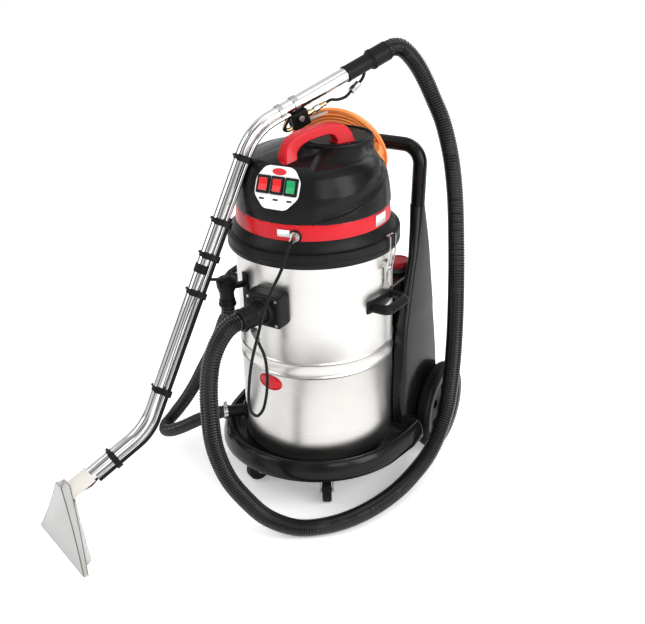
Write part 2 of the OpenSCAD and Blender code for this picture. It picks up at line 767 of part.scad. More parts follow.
// Tapered fan between a top slot and the lip, shrunk by the wall
module fan(wall) {
    hull() {
        translate([21 + wall, -18 + wall, 196 - wall * 2]) cube([26 - 2 * wall, 36 - 2 * wall, 8]);
        translate([wall, -lip_half + wall, wall > 0 ? -1 : 0.4])
            cube([18 - 2 * wall, 2 * lip_half - 2 * wall, 8]);
    }
}
module guard(wall) {
    hull() {
        translate([43, -26 + wall, 150 - wall]) cube([16 - wall, 52 - 2 * wall, 3]);
        translate([17, -112 + wall, wall > 0 ? 1 : 3]) cube([40 - wall, 224 - 2 * wall, 3]);
    }
}
module floor_tool() {
    color([0.8, 0.8, 0.78]) difference() {
        union() {
            tool_frame() {
                fan(0);
                guard(0);
            }
            on_low_length(-700) rod_x(80, wand_r + 5);
        }
        tool_frame() {
            fan(3);
            difference() {
                guard(2.5);
                fan(0);
            }
        }
        on_low_length(-690) rod_x(90, wand_r + 0.02);
    }
    color(black) tool_frame() translate([40, 0, 62]) {
        cylinder(h = 62, r = 7);
        translate([0, 0, -14]) cylinder(h = 15, r = 10);
        translate([0, -4, 20]) cube([10, 8, 30]);
    }
}

trolley_base();
solution_tank();
side_pillars();
push_bar();
tank_neck();
cap_gasket();
filler_cap();
rear_axle();
axle_caps();
left_tyre();
right_tyre();
left_hub();
right_hub();
left_castor_fork();
right_castor_fork();
left_castor_wheel();
right_castor_wheel();
drum_shell();
inlet_box();
inlet_deflector();
side_handles();
latch_brackets();
left_latch_lever();
right_latch_lever();
left_latch_bail();
right_latch_bail();
drain_outlet();
drain_hose();
drain_end();
drain_cap();
head_base();
head_gasket();
exhaust_band();
dome_cover();
motor_cover();
carry_handle();
control_panel();
left_rocker();
middle_rocker();
right_rocker();
vacuum_motors();
solution_pump();
float_cage();
float_ball();
pump_outlet();
head_screws();
vacuum_hose();
inlet_cuff();
solution_tube();
mains_lead();
mains_coil();
mains_plug();
wand_tube();
wand_cuff();
wand_fittings();
wand_lines();
spray_valve();
spray_trigger();
coupler_sleeve();
floor_tool();
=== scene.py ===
import bpy
import math
import random
from mathutils import Matrix, Vector


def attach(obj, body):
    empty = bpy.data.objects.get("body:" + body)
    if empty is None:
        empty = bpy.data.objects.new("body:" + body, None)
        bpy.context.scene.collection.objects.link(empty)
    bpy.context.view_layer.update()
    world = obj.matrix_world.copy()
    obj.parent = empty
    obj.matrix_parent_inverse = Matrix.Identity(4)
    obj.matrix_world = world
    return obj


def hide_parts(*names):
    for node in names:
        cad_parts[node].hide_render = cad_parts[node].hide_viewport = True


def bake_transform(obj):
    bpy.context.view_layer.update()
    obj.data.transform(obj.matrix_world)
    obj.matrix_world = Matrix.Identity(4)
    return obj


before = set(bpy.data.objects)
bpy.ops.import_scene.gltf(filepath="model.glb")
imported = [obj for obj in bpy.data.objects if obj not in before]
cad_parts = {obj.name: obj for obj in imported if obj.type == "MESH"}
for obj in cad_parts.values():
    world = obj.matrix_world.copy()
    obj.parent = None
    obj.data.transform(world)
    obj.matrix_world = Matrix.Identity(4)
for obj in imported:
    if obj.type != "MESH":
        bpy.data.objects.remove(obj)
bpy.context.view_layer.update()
MM = 0.001
random.seed(7)
scene = bpy.context.scene


# ---------------------------------------------------------------- helpers
def rad(a):
    return math.radians(a)


def cosd(a):
    return math.cos(rad(a))


def sind(a):
    return math.sin(rad(a))


def move(x, y, z):
    return Matrix.Translation(Vector((x, y, z)))


def spin(a, axis):
    return Matrix.Rotation(rad(a), 4, axis)


def smooth(a, b, x):
    t = min(1.0, max(0.0, (x - a) / (b - a)))
    return t * t * (3 - 2 * t)


def lerp(a, b, t):
    return a + (b - a) * t


def curve_at(points, x):
    """Value of a piecewise line through (x, y) points, ends held."""
    if x <= points[0][0]:
        return points[0][1]
    for (x0, y0), (x1, y1) in zip(points, points[1:]):
        if x <= x1:
            return lerp(y0, y1, (x - x0) / (x1 - x0))
    return points[-1][1]


def piece(name, verts, faces, mat, body="machine", slot="black", angle=35, bevel=0, ride=True):
    """Smooth-shaded object from millimetres that, unless told otherwise, rides a body."""
    me = bpy.data.meshes.new(name)
    me.from_pydata([Vector(v) * MM for v in verts], [], faces)
    me.validate()
    ob = bpy.data.objects.new(name, me)
    scene.collection.objects.link(ob)
    me.materials.append(mat)
    me.shade_smooth()
    me.set_sharp_from_angle(angle=rad(angle))
    if bevel:
        mod = ob.modifiers.new("Bevel", "BEVEL")
        mod.width = bevel * MM
        mod.segments = 3
        mod.limit_method = "ANGLE"
        mod.angle_limit = rad(angle)
        mod.harden_normals = True
    if ride:
        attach(ob, body)
    return ob


def place(verts, matrix):
    return [tuple(matrix @ Vector(v)) for v in verts]


def grid_faces(rows, cols, wrap=True, flip=False):
    out = []
    for i in range(rows - 1):
        for j in range(cols if wrap else cols - 1):
            a, b = i * cols + j, i * cols + (j + 1) % cols
            f = (a, b, b + cols, a + cols)
            out.append(f[::-1] if flip else f)
    return out


def lathe_data(profile, n=128):
    """Turns a closed (r, z) profile about Z. A radius of 0.001 stands for the axis."""
    verts, faces = [], []
    for r, z in profile:
        for k in range(n):
            a = 2 * math.pi * k / n
            verts.append((r * math.cos(a), r * math.sin(a), z))
    m = len(profile)
    for i in range(m):
        for k in range(n):
            a, b = i * n + k, i * n + (k + 1) % n
            c, d = ((i + 1) % m) * n + (k + 1) % n, ((i + 1) % m) * n + k
            faces.append((a, b, c, d))
    return verts, faces


def axis_matrix(origin, direction):
    z = Vector(direction).normalized()
    x = z.orthogonal().normalized()
    y = z.cross(x)
    m = Matrix((x, y, z)).transposed().to_4x4()
    m.translation = Vector(origin)
    return m


def lathe(name, profile, mat, origin=(0, 0, 0), direction=(0, 0, 1), n=96, **k):
    verts, faces = lathe_data(profile, n)
    if tuple(direction) == (0, 0, 1):
        m = Matrix.Translation(Vector(origin))
    else:
        m = axis_matrix(origin, direction)
    return piece(name, place(verts, m), faces, mat, **k)


def lathe_in(name, profile, mat, at, spot=(0, 0, 0), axis=(1, 0, 0), **k):
    """Lathe whose start and axis are given in the frame at."""
    return lathe(name, profile, mat, origin=at @ Vector(spot), direction=at.to_3x3() @ Vector(axis), **k)


def disc_profile(r, h, e=1.0):
    return [(0.001, 0), (r - e, 0), (r, e), (r, h - e), (r - e, h), (0.001, h)]


def tube_profile(ro, ri, h, e=1.0):
    return [(ri, e), (ri + e, 0), (ro - e, 0), (ro, e), (ro, h - e), (ro - e, h), (ri + e, h), (ri, h - e)]


def box_data(size, centre=(0, 0, 0)):
    x, y, z = (s / 2 for s in size)
    verts = [(sx * x + centre[0], sy * y + centre[1], sz * z + centre[2])
             for sz in (-1, 1) for sx, sy in ((-1, -1), (1, -1), (1, 1), (-1, 1))]
    faces = [(3, 2, 1, 0), (4, 5, 6, 7)]
    faces += [(k, (k + 1) % 4, 4 + (k + 1) % 4, 4 + k) for k in range(4)]
    return verts, faces


def box(name, size, mat, matrix, centre=(0, 0, 0), **k):
    verts, faces = box_data(size, centre)
    return piece(name, place(verts, matrix), faces, mat, **k)


def prism(name, outline, h, mat, matrix, **k):
    n = len(outline)
    verts = [(x, y, 0) for x, y in outline] + [(x, y, h) for x, y in outline]
    faces = [tuple(range(n - 1, -1, -1)), tuple(range(n, 2 * n))]
    faces += [(i, (i + 1) % n, n + (i + 1) % n, n + i) for i in range(n)]
    return piece(name, place(verts, matrix), faces, mat, **k)


def corner_arc(a, b, c, radius, steps):
    """Points of the arc that rounds the corner at b, on the way from a to c."""
    u, v = (a - b).normalized(), (c - b).normalized()
    half = u.angle(v) / 2
    mid = b + (u + v).normalized() * radius / math.sin(half)
    reach = radius / math.tan(half)
    p, q = b + u * reach - mid, b + v * reach - mid
    turn = p.angle(q)
    out = []
    for k in range(steps + 1):
        t = k / steps
        out.append(mid + (math.sin(turn * (1 - t)) * p + math.sin(turn * t) * q) / math.sin(turn))
    return out


def round_path(points, radius, steps=8):
    """Open route with each inner corner rounded."""
    points = [Vector(p) for p in points]
    out = [points[0]]
    for a, b, c in zip(points, points[1:], points[2:]):
        out += corner_arc(a, b, c, radius, steps)
    out.append(points[-1])
    return out


def rounded_outline(points, radii, steps=6):
    """Closed outline with each corner rounded to its own radius. A radius of 0 leaves the corner sharp."""
    points = [Vector(p) for p in points]
    out = []
    for i, (b, radius) in enumerate(zip(points, radii)):
        if radius <= 0:
            out.append(b)
            continue
        out += corner_arc(points[i - 1], b, points[(i + 1) % len(points)], radius, steps)
    return out


def rounded_rect(w, h, r, steps=5):
    out = []
    for sx, sy, a0 in ((1, 1, 0), (-1, 1, 90), (-1, -1, 180), (1, -1, 270)):
        for k in range(steps + 1):
            a = rad(a0 + 90 * k / steps)
            out.append((sx * (w / 2 - r) + r * math.cos(a), sy * (h / 2 - r) + r * math.sin(a)))
    return out


def spline(points, step):
    """Centripetal Catmull-Rom route through the points, resampled to an even step."""
    p = [Vector(v) for v in points]
    p = [2 * p[0] - p[1]] + p + [2 * p[-1] - p[-2]]
    fine = []
    for i in range(1, len(p) - 2):
        p0, p1, p2, p3 = p[i - 1:i + 3]
        t0 = 0
        t1 = t0 + max((p1 - p0).length, 1e-6) ** 0.5
        t2 = t1 + max((p2 - p1).length, 1e-6) ** 0.5
        t3 = t2 + max((p3 - p2).length, 1e-6) ** 0.5
        for k in range(24):
            t = lerp(t1, t2, k / 24)
            a1 = (t1 - t) / (t1 - t0) * p0 + (t - t0) / (t1 - t0) * p1
            a2 = (t2 - t) / (t2 - t1) * p1 + (t - t1) / (t2 - t1) * p2
            a3 = (t3 - t) / (t3 - t2) * p2 + (t - t2) / (t3 - t2) * p3
            b1 = (t2 - t) / (t2 - t0) * a1 + (t - t0) / (t2 - t0) * a2
            b2 = (t3 - t) / (t3 - t1) * a2 + (t - t1) / (t3 - t1) * a3
            fine.append((t2 - t) / (t2 - t1) * b1 + (t - t1) / (t2 - t1) * b2)
    fine.append(p[-2])
    return resample(fine, step)


def resample(fine, step):
    total = sum((b - a).length for a, b in zip(fine, fine[1:]))
    n = max(2, round(total / step))
    out, want, run = [fine[0].copy()], total / n, 0.0
    for a, b in zip(fine, fine[1:]):
        d = (b - a).length
        while d > 0 and run + d >= want and len(out) < n:
            out.append(a + (b - a) * ((want - run) / d))
            want += total / n
        run += d
    out.append(fine[-1].copy())
    return out


def path_length(points):
    return sum((b - a).length for a, b in zip(points, points[1:]))


def sweep(points, radius, n=16, shape=None):
    """Tube along points. radius is a number or a function of (index, distance); shape is a closed
    outline (list of x, y) used in place of a circle."""
    pts = [Vector(v) for v in points]
    tangents = []
    for i in range(len(pts)):
        a, b = pts[max(0, i - 1)], pts[min(len(pts) - 1, i + 1)]
        tangents.append((b - a).normalized())
    side = tangents[0].orthogonal().normalized()
    verts, run = [], 0.0
    ring = shape or [(math.cos(2 * math.pi * k / n), math.sin(2 * math.pi * k / n)) for k in range(n)]
    n = len(ring)
    for i, (p, t) in enumerate(zip(pts, tangents)):
        if i:
            run += (p - pts[i - 1]).length
        side = (side - t * side.dot(t)).normalized()
        other = t.cross(side)
        r = radius(i, run) if callable(radius) else radius
        for x, y in ring:
            verts.append(p + side * (x * r) + other * (y * r))
    faces = grid_faces(len(pts), n, flip=True)
    faces.append(tuple(range(n)))
    faces.append(tuple(range(len(pts) * n - 1, (len(pts) - 1) * n - 1, -1)))
    return verts, [f[::-1] for f in faces]


def tube(name, path, radius, n, mat, **k):
    """Round bar or tube of one radius along a path."""
    verts, faces = sweep(path, radius, n)
    return piece(name, verts, faces, mat, **k)


def join(verts, faces, more, more_faces):
    """Adds one set of vertices and faces to another in place."""
    faces += [tuple(i + len(verts) for i in f) for f in more_faces]
    verts += more


# ---------------------------------------------------------------- materials
def material(name, color, rough=0.5, metal=0.0, coat=0.0, vary=0.06, bump=0.0, scale=300.0, stretch=(1, 1, 1),
             rough_vary=0.08, wear=0.0, **sockets):
    m = bpy.data.materials.new(name)
    m.use_nodes = True
    nt = m.node_tree
    nodes, links = nt.nodes, nt.links
    bsdf = nodes["Principled BSDF"]
    bsdf.inputs["Metallic"].default_value = metal
    bsdf.inputs["Coat Weight"].default_value = coat
    bsdf.inputs["Coat Roughness"].default_value = 0.05
    for key, value in sockets.items():
        bsdf.inputs[key.replace("_", " ")].default_value = value
    coords = nodes.new("ShaderNodeTexCoord")
    mapping = nodes.new("ShaderNodeMapping")
    mapping.inputs["Scale"].default_value = stretch
    links.new(coords.outputs["Object"], mapping.inputs["Vector"])
    fine = nodes.new("ShaderNodeTexNoise")
    fine.inputs["Scale"].default_value = scale
    fine.inputs["Detail"].default_value = 4
    links.new(mapping.outputs["Vector"], fine.inputs["Vector"])
    broad = nodes.new("ShaderNodeTexNoise")
    broad.inputs["Scale"].default_value = 9
    broad.inputs["Detail"].default_value = 5
    links.new(coords.outputs["Object"], broad.inputs["Vector"])
    mix = nodes.new("ShaderNodeMix")
    mix.data_type = "RGBA"
    dark = [c * (1 - vary) for c in color[:3]] + [1]
    light = [min(1, c * (1 + vary) + 0.15 * vary) for c in color[:3]] + [1]
    mix.inputs["A"].default_value = dark
    mix.inputs["B"].default_value = light
    links.new(broad.outputs["Fac"], mix.inputs["Factor"])
    last = mix.outputs["Result"]
    if wear:
        speck = nodes.new("ShaderNodeMapRange")
        speck.inputs["From Min"].default_value = 0.62
        speck.inputs["From Max"].default_value = 0.75
        speck.inputs["To Max"].default_value = wear
        links.new(fine.outputs["Fac"], speck.inputs["Value"])
        dust = nodes.new("ShaderNodeMix")
        dust.data_type = "RGBA"
        dust.inputs["B"].default_value = (0.45, 0.44, 0.42, 1)
        links.new(speck.outputs["Result"], dust.inputs["Factor"])
        links.new(last, dust.inputs["A"])
        last = dust.outputs["Result"]
    links.new(last, bsdf.inputs["Base Color"])
    ramp = nodes.new("ShaderNodeMapRange")
    ramp.inputs["To Min"].default_value = max(0.02, rough - rough_vary)
    ramp.inputs["To Max"].default_value = min(1.0, rough + rough_vary)
    links.new(fine.outputs["Fac"], ramp.inputs["Value"])
    links.new(ramp.outputs["Result"], bsdf.inputs["Roughness"])
    if bump:
        b = nodes.new("ShaderNodeBump")
        b.inputs["Strength"].default_value = bump
        b.inputs["Distance"].default_value = 0.0006
        links.new(fine.outputs["Fac"], b.inputs["Height"])
        links.new(b.outputs["Normal"], bsdf.inputs["Normal"])
    return m


M = {
    "gloss": material("gloss black", (0.005, 0.005, 0.0055), 0.24, coat=0.12, bump=0.03, scale=60),
    "black": material("moulded black", (0.006, 0.006, 0.0065), 0.4, bump=0.18, scale=900),
    "dome": material("dome black", (0.006, 0.006, 0.0065), 0.26, bump=0.14, scale=1100),
    "lid": material("lid grey", (0.014, 0.014, 0.0145), 0.36, bump=0.1, scale=700),
    "hose": material("hose black", (0.006, 0.006, 0.0065), 0.14, bump=0.04, scale=400),
    "rubber": material("rubber", (0.009, 0.009, 0.0095), 0.55, bump=0.25, scale=500, wear=0.12),
    "face": material("wheel ring grey", (0.075, 0.075, 0.078), 0.5, bump=0.2, scale=500),
    "grey": material("grey plastic", (0.16, 0.16, 0.16), 0.45, bump=0.1, scale=600),
    "red": material("red plastic", (0.56, 0.002, 0.012), 0.3, bump=0.08, scale=700, vary=0.05),
    "cap": material("cap red", (0.5, 0.03, 0.05), 0.4, bump=0.08, scale=700),
    "switch_red": material("switch red", (0.7, 0.012, 0.015), 0.24, vary=0.05, scale=200),
    "switch_green": material("switch green", (0.0, 0.36, 0.12), 0.24, vary=0.05, scale=200),
    "white": material("panel white", (0.82, 0.82, 0.8), 0.32, vary=0.02, scale=500, bump=0.02),
    "label": material("label", (0.62, 0.62, 0.6), 0.4, vary=0.04, scale=500),
    "oval": material("oval red", (0.6, 0.01, 0.02), 0.3, vary=0.05, scale=400),
    "orange": material("orange lead", (0.95, 0.34, 0.1), 0.4, vary=0.08, scale=300, bump=0.05),
    "steel": material("bright steel", (0.6, 0.59, 0.57), 0.22, 1.0, bump=0.03, scale=500, vary=0.04),
    "zinc": material("zinc plate", (0.45, 0.45, 0.44), 0.34, 1.0, bump=0.08, scale=350, vary=0.1),
    "brass": material("fitting brass", (0.55, 0.42, 0.25), 0.25, 1.0, bump=0.05, scale=400),
    "chrome": material("chrome", (0.66, 0.65, 0.64), 0.07, 1.0, scale=14, vary=0.03, rough_vary=0.015),
    "drum": material("brushed drum", (0.66, 0.645, 0.62), 0.3, 1.0, bump=0.05, scale=2.2, vary=0.05,
                     stretch=(1, 1, 420), rough_vary=0.07, Anisotropic=0.55),
    "smoke": material("smoked edge", (0.2, 0.17, 0.145), 0.2, vary=0.1, scale=90, Transmission_Weight=0.4),
    "clear": material("clear tool", (0.84, 0.835, 0.82), 0.14, vary=0.06, scale=90, bump=0.03,
                      rough_vary=0.05, Transmission_Weight=0.55, IOR=1.2),
    "frost": material("frosted sleeve", (0.86, 0.82, 0.77), 0.16, vary=0.05, scale=90, rough_vary=0.05,
                      Transmission_Weight=0.3, IOR=1.3),
    "tan": material("tinted wall", (0.5, 0.38, 0.3), 0.2, vary=0.1, scale=90, Transmission_Weight=0.45),
}
for key in ("gloss", "black", "lid", "rubber", "dome"):
    M[key].node_tree.nodes["Principled BSDF"].inputs["Specular IOR Level"].default_value = 0.25
drum_tree = M["drum"].node_tree
tangent = drum_tree.nodes.new("ShaderNodeTangent")
tangent.direction_type = "RADIAL"
tangent.axis = "Z"
drum_tree.links.new(tangent.outputs["Tangent"], drum_tree.nodes["Principled BSDF"].inputs["Tangent"])

# ---------------------------------------------------------------- camera and light
# in metres; distance, elevation, roll, lens and shift come from one fit to the photograph's round edges
where = Vector((1.321, -2.199, 1.738))
look = (Vector((0, 0, 0.5)) - where).normalized()
right = look.cross(Vector((0, 0, 1))).normalized()
up = right.cross(look)
roll = rad(-1.81)
cx = right * math.cos(roll) + up * math.sin(roll)
cy = up * math.cos(roll) - right * math.sin(roll)
cam_data = bpy.data.cameras.new("Camera")
cam_data.lens = 56.2
cam_data.sensor_width = 36
cam_data.shift_x = 0.0096
cam_data.clip_end = 200
cam = bpy.data.objects.new("Camera", cam_data)
turned = Matrix((cx, cy, -look)).transposed().to_4x4()
turned.translation = where
cam.matrix_world = turned
scene.collection.objects.link(cam)
scene.camera = cam


def area(name, at, target, size, power):
    data = bpy.data.lights.new(name, "AREA")
    data.shape = "RECTANGLE"
    data.size, data.size_y = size
    data.energy = power
    ob = bpy.data.objects.new(name, data)
    ob.location = at
    ob.rotation_euler = (Vector(target) - Vector(at)).to_track_quat("-Z", "Y").to_euler()
    scene.collection.objects.link(ob)


area("key", (-2.6, -2.6, 2.9), (0, 0, 0.55), (2.2, 3.0), 44)
area("side", (3.2, -0.4, 1.9), (0, 0, 0.6), (1.5, 2.8), 54)
area("front", (2.5, -2.1, 2.1), (0, 0, 0.85), (1.2, 1.6), 18)
area("back", (0.4, 3.4, 2.8), (0, 0, 0.7), (3.0, 1.6), 30)
area("top", (0.2, -0.4, 3.8), (0, 0, 0), (2.6, 2.6), 16)

# a white studio with dim gaps at some azimuths, which only reflections see: camera rays see plain white
BRIGHT = 0.9
EDGE = 4  # degrees over which a gap fades in and out
world = bpy.data.worlds.new("studio")
world.use_nodes = True
wn, wl = world.node_tree.nodes, world.node_tree.links
wn["Background"].inputs["Color"].default_value = (0.97, 0.98, 1.0, 1)
sky = wn.new("ShaderNodeTexCoord")
axes = wn.new("ShaderNodeSeparateXYZ")
turn = wn.new("ShaderNodeMath")
turn.operation = "ARCTAN2"
share = wn.new("ShaderNodeMapRange")
share.inputs["From Min"].default_value = -math.pi
share.inputs["From Max"].default_value = math.pi
gaps = wn.new("ShaderNodeValToRGB")
wl.new(sky.outputs["Generated"], axes.inputs["Vector"])
wl.new(axes.outputs["Y"], turn.inputs[0])
wl.new(axes.outputs["X"], turn.inputs[1])
wl.new(turn.outputs["Value"], share.inputs["Value"])
wl.new(share.outputs["Result"], gaps.inputs["Fac"])
ramp_at = gaps.color_ramp
ramp_at.elements[0].color = ramp_at.elements[1].color = (BRIGHT, BRIGHT, BRIGHT, 1)
for az, half, level in ((-165, 8, 0.1), (-100, 6, 0.12), (-58, 12, 0.35), (44, 8, 0.12), (110, 10, 0.3)):
    for step, value in ((-half - EDGE, BRIGHT), (-half, level), (half, level), (half + EDGE, BRIGHT)):
        ramp_at.elements.new((az + step) / 360 + 0.5).color = (value, value, value, 1)
seen = wn.new("ShaderNodeLightPath")
pick = wn.new("ShaderNodeMix")
pick.inputs["B"].default_value = 1.0
wl.new(seen.outputs["Is Camera Ray"], pick.inputs["Factor"])
wl.new(gaps.outputs["Color"], pick.inputs["A"])
wl.new(pick.outputs["Result"], wn["Background"].inputs["Strength"])
scene.world = world
scene.view_settings.gamma = 0.84
scene.view_settings.exposure = 0.12
scene.view_settings.view_transform = "Standard"

floor_mat = material("pale floor", (0.93, 0.93, 0.93), 0.9, vary=0.004, scale=40)
floor_bsdf = floor_mat.node_tree.nodes["Principled BSDF"]
floor_bsdf.inputs["Emission Color"].default_value = (1, 1, 1, 1)
floor_bsdf.inputs["Emission Strength"].default_value = 0.28
floor_mesh = bpy.data.meshes.new("floor")
FLOOR = 30
floor_corners = [(-FLOOR, -FLOOR, 0), (FLOOR, -FLOOR, 0), (FLOOR, FLOOR, 0), (-FLOOR, FLOOR, 0)]
floor_mesh.from_pydata(floor_corners, [], [(0, 1, 2, 3)])
floor_mesh.materials.append(floor_mat)
floor = bpy.data.objects.new("floor", floor_mesh)
scene.collection.objects.link(floor)


# ---------------------------------------------------------------- hoses and leads
def ribs(r, depth, pitch, plain, total):
    """Radius of a ribbed hose as a function for sweep, with a plain stretch at each end."""
    def f(i, s):
        if s < plain or s > total - plain:
            return r
        w = 0.5 - 0.5 * math.cos(2 * math.pi * s / pitch)
        return r - depth * (1 - w) ** 1.5
    return f


def cord_mesh(name, route, d, step, mat, slot, rib=None, n=16, ride=True):
    """Cord or hose of diameter d along a route. rib holds the ribs' depth, their pitch and the plain end."""
    path = spline(route, step)
    total = path_length(path)
    r = d / 2
    verts, faces = sweep(path, ribs(r, rib[0], rib[1], rib[2], total) if rib else r, n)
    ob = piece(name, verts, faces, mat, slot=slot, ride=ride, angle=75)
    return ob, path, total


hose_route = [(88.9, 264.7, 1188.5), (96.6, 279.8, 1194.1), (112, 303, 1190), (129, 319, 1170),
              (148, 334, 1138), (168, 345, 1096), (190, 350, 1048), (221, 345, 990), (260, 318, 904),
              (290, 284, 813), (314, 248, 690), (328, 225, 570), (337, 205, 419), (339, 186, 291),
              (336, 155, 175), (326, 86, 90), (309, -3, 50), (290, -100, 35), (250, -214, 29),
              (194, -292, 25), (124, -345, 27), (65, -393, 70), (28, -432, 139), (-6, -462, 219),
              (-31, -474, 311), (-41, -470, 399), (-50, -452, 481), (-57, -419, 541), (-57, -370, 582),
              (-50.6, -335, 596.5), (-40.9, -315.7, 600)]
hose, hose_path, hose_len = cord_mesh("ribbed_suction_hose", hose_route[::-1], 48, 1.5, M["hose"], "hose",
                                      rib=(2.6, 7.5, 6), n=28, ride=False)
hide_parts("vacuum_hose")
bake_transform(hose)

drain_route = [(-204.7, -171.8, 208), (-223.7, -187.7, 208), (-250, -203, 198), (-285, -214, 180),
               (-345, -218, 140), (-400, -207, 105), (-445, -182, 82), (-464, -150, 80), (-455, -122, 100),
               (-420, -110, 150), (-372, -114, 220), (-322, -125, 300), (-270, -140, 380), (-222, -163, 455),
               (-180, -190, 520), (-158, -205, 545), (-151, -212, 560), (-151, -212, 579.8)]
drain, drain_path, drain_len = cord_mesh("ribbed_drain_hose", drain_route, 38, 1.4, M["hose"], "hose",
                                         rib=(2.2, 6.5, 6), n=24)
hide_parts("drain_hose")

solution_route = [(76.1, -234.2, 812), (79.7, -245.4, 812), (80, -254, 804), (76, -264, 782), (68, -276, 748),
                  (52, -298, 700), (36, -316, 645), (22, -327, 580), (6, -337, 510), (-5, -342, 436),
                  (-11, -339, 375), (-9, -331, 345), (-1, -320, 331), (8, -308, 342), (15, -295, 385),
                  (16, -287, 440), (6, -280, 495), (-8, -278.5, 521.5), (-8, -285.9, 539.8)]
line, line_path, line_len = cord_mesh("solution_line", solution_route, 8, 4, M["black"], "hose", n=14)
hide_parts("solution_tube")

# the mains lead: out of the head, round the coil, and out to the plug
coil = move(-42, 222, 905) @ spin(12, "Z") @ spin(112, "X")
LEAD_R = 4.25
turns = 11
slots = [(r, h) for h in (-4.6, 4.6) for r in (98.5, 107.5, 116.5, 125.5, 134.5, 139)]
random.shuffle(slots)
lead_pts = [(-30, 206.5, 856), (-37, 222, 851), (-50, 236, 843)]
steps = 40
wave = [(random.uniform(0, 6.28), random.uniform(1.0, 2.4), random.uniform(0, 6.28)) for _ in slots]
for k in range(turns * steps + 6):
    t = k / steps
    i = min(int(t), turns - 1)
    f = smooth(0.72, 1.0, t - i) if i < turns - 1 else 0
    r0, h0 = slots[i]
    r1, h1 = slots[min(i + 1, len(slots) - 1)]
    a = -rad(118) + 2 * math.pi * t
    ph, amp, ph2 = wave[i]
    r = lerp(r0, r1, f) + amp * math.sin(3 * a + ph) * 0.8
    h = lerp(h0, h1, f) + amp * math.sin(2 * a + ph2) * 0.7
    sag = 6 * math.sin(a) * smooth(110, 150, r)
    lead_pts.append(tuple(coil @ Vector((r * math.cos(a), r * math.sin(a) + sag, h))))
lead_pts.append(tuple(coil @ Vector((131, -12, 16))))
lead_pts.append(tuple(coil @ Vector((130, 12, 27))))
lead_pts = lead_pts[:-8] + lead_pts[-2:]
lead_path = spline(lead_pts, 5)
lead = tube("coiled_mains_lead", lead_path, LEAD_R, 10, M["orange"], slot="orange", angle=60)
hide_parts("mains_lead", "mains_coil")

end = lead_path[-1]
aim = (lead_path[-1] - lead_path[-3]).normalized()
plug_profile = [(0.001, 0), (6, 0), (7.5, 2), (8, 14), (13, 20), (17.5, 24), (18.5, 28), (18.5, 50),
                (17.5, 52), (0.001, 52)]
plug = lathe("lead_plug", plug_profile, M["orange"], origin=end - aim * 3, direction=aim, slot="orange")
pins_v, pins_f = [], []
pm = axis_matrix(end - aim * 3, aim)
for s in (-1, 1):
    v, f = lathe_data([(0.001, 52), (2.4, 52), (2.4, 70), (1.4, 71), (0.001, 71)], 20)
    join(pins_v, pins_f, place([(x, y + s * 9.5, z) for x, y, z in v], pm), f)
pins = piece("plug_pins", pins_v, pins_f, M["steel"], slot="steel")
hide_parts("mains_plug")


# ---------------------------------------------------------------- trolley
front = [(286 * cosd(a), 286 * sind(a)) for a in range(-166, -13, 4)]
right_side = [(294, 30), (296, 98), (239, 126), (239, 330)]
plan = front + right_side + [(-x, y) for x, y in right_side[::-1]]
radii = [0] * len(front) + [60, 12, 14, 34] + [34, 14, 12, 60]
plan = rounded_outline(plan, radii)
WELL_FLOOR, DECK = 138, 172
# inset from the outline, height, and how far the row sinks from the deck into the well at the front
levels = [(26, 132, 0), (12, 120, 0), (8, 118, 0), (2, 118.5, 0), (0, 121, 0), (1.5, 138, 0), (7, 158, 0),
          (12, 168, 0), (16, 172, 0), (20, 173, 0), (24, 172, 0), (28, 168, 0.8), (32, 158, 1), (38, 149, 1),
          (48, 143, 1), (60, 140, 1)]
verts = []
m = len(plan)
for d, z, dished in levels:
    for p in plan:
        q = p * (1 - d / p.length)
        if p.y > 100 and abs(p.x) < 245:
            q = Vector((p.x - math.copysign(min(d, 8), p.x), p.y - (d * 0.3 if p.y > 290 else 0)))
        w = dished * (1 - smooth(-10, 60, p.y))
        verts.append((q.x, q.y, lerp(DECK if dished else z, z, w)))
for p in plan:
    w = 1 - smooth(-10, 60, p.y)
    q = p * (214 / p.length)
    verts.append((q.x, q.y, lerp(DECK, WELL_FLOOR, w)))
for p in plan:
    q = p * (205 / p.length)
    verts.append((q.x, q.y, WELL_FLOOR - 1))
faces = grid_faces(len(levels) + 2, m)
base = piece("moulded_trolley", verts, faces, M["gloss"], slot="gloss", angle=50)

under_v, under_f = [], []
for s in (-1, 1):
    v, f = lathe_data([(0.001, 112), (24, 112), (24, 131), (0.001, 131)], 40)
    join(under_v, under_f, [(x + s * 128, y - 186, z) for x, y, z in v], f)
    v, f = box_data((30, 60, 64), (s * 222, 262, 139))
    join(under_v, under_f, v, f)
piece("trolley_bosses", under_v, under_f, M["gloss"], slot="gloss", bevel=1)
lathe("trolley_floor", [(0.001, 130), (262, 130), (262, 136), (0.001, 136)], M["gloss"], slot="gloss")
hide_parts("trolley_base")

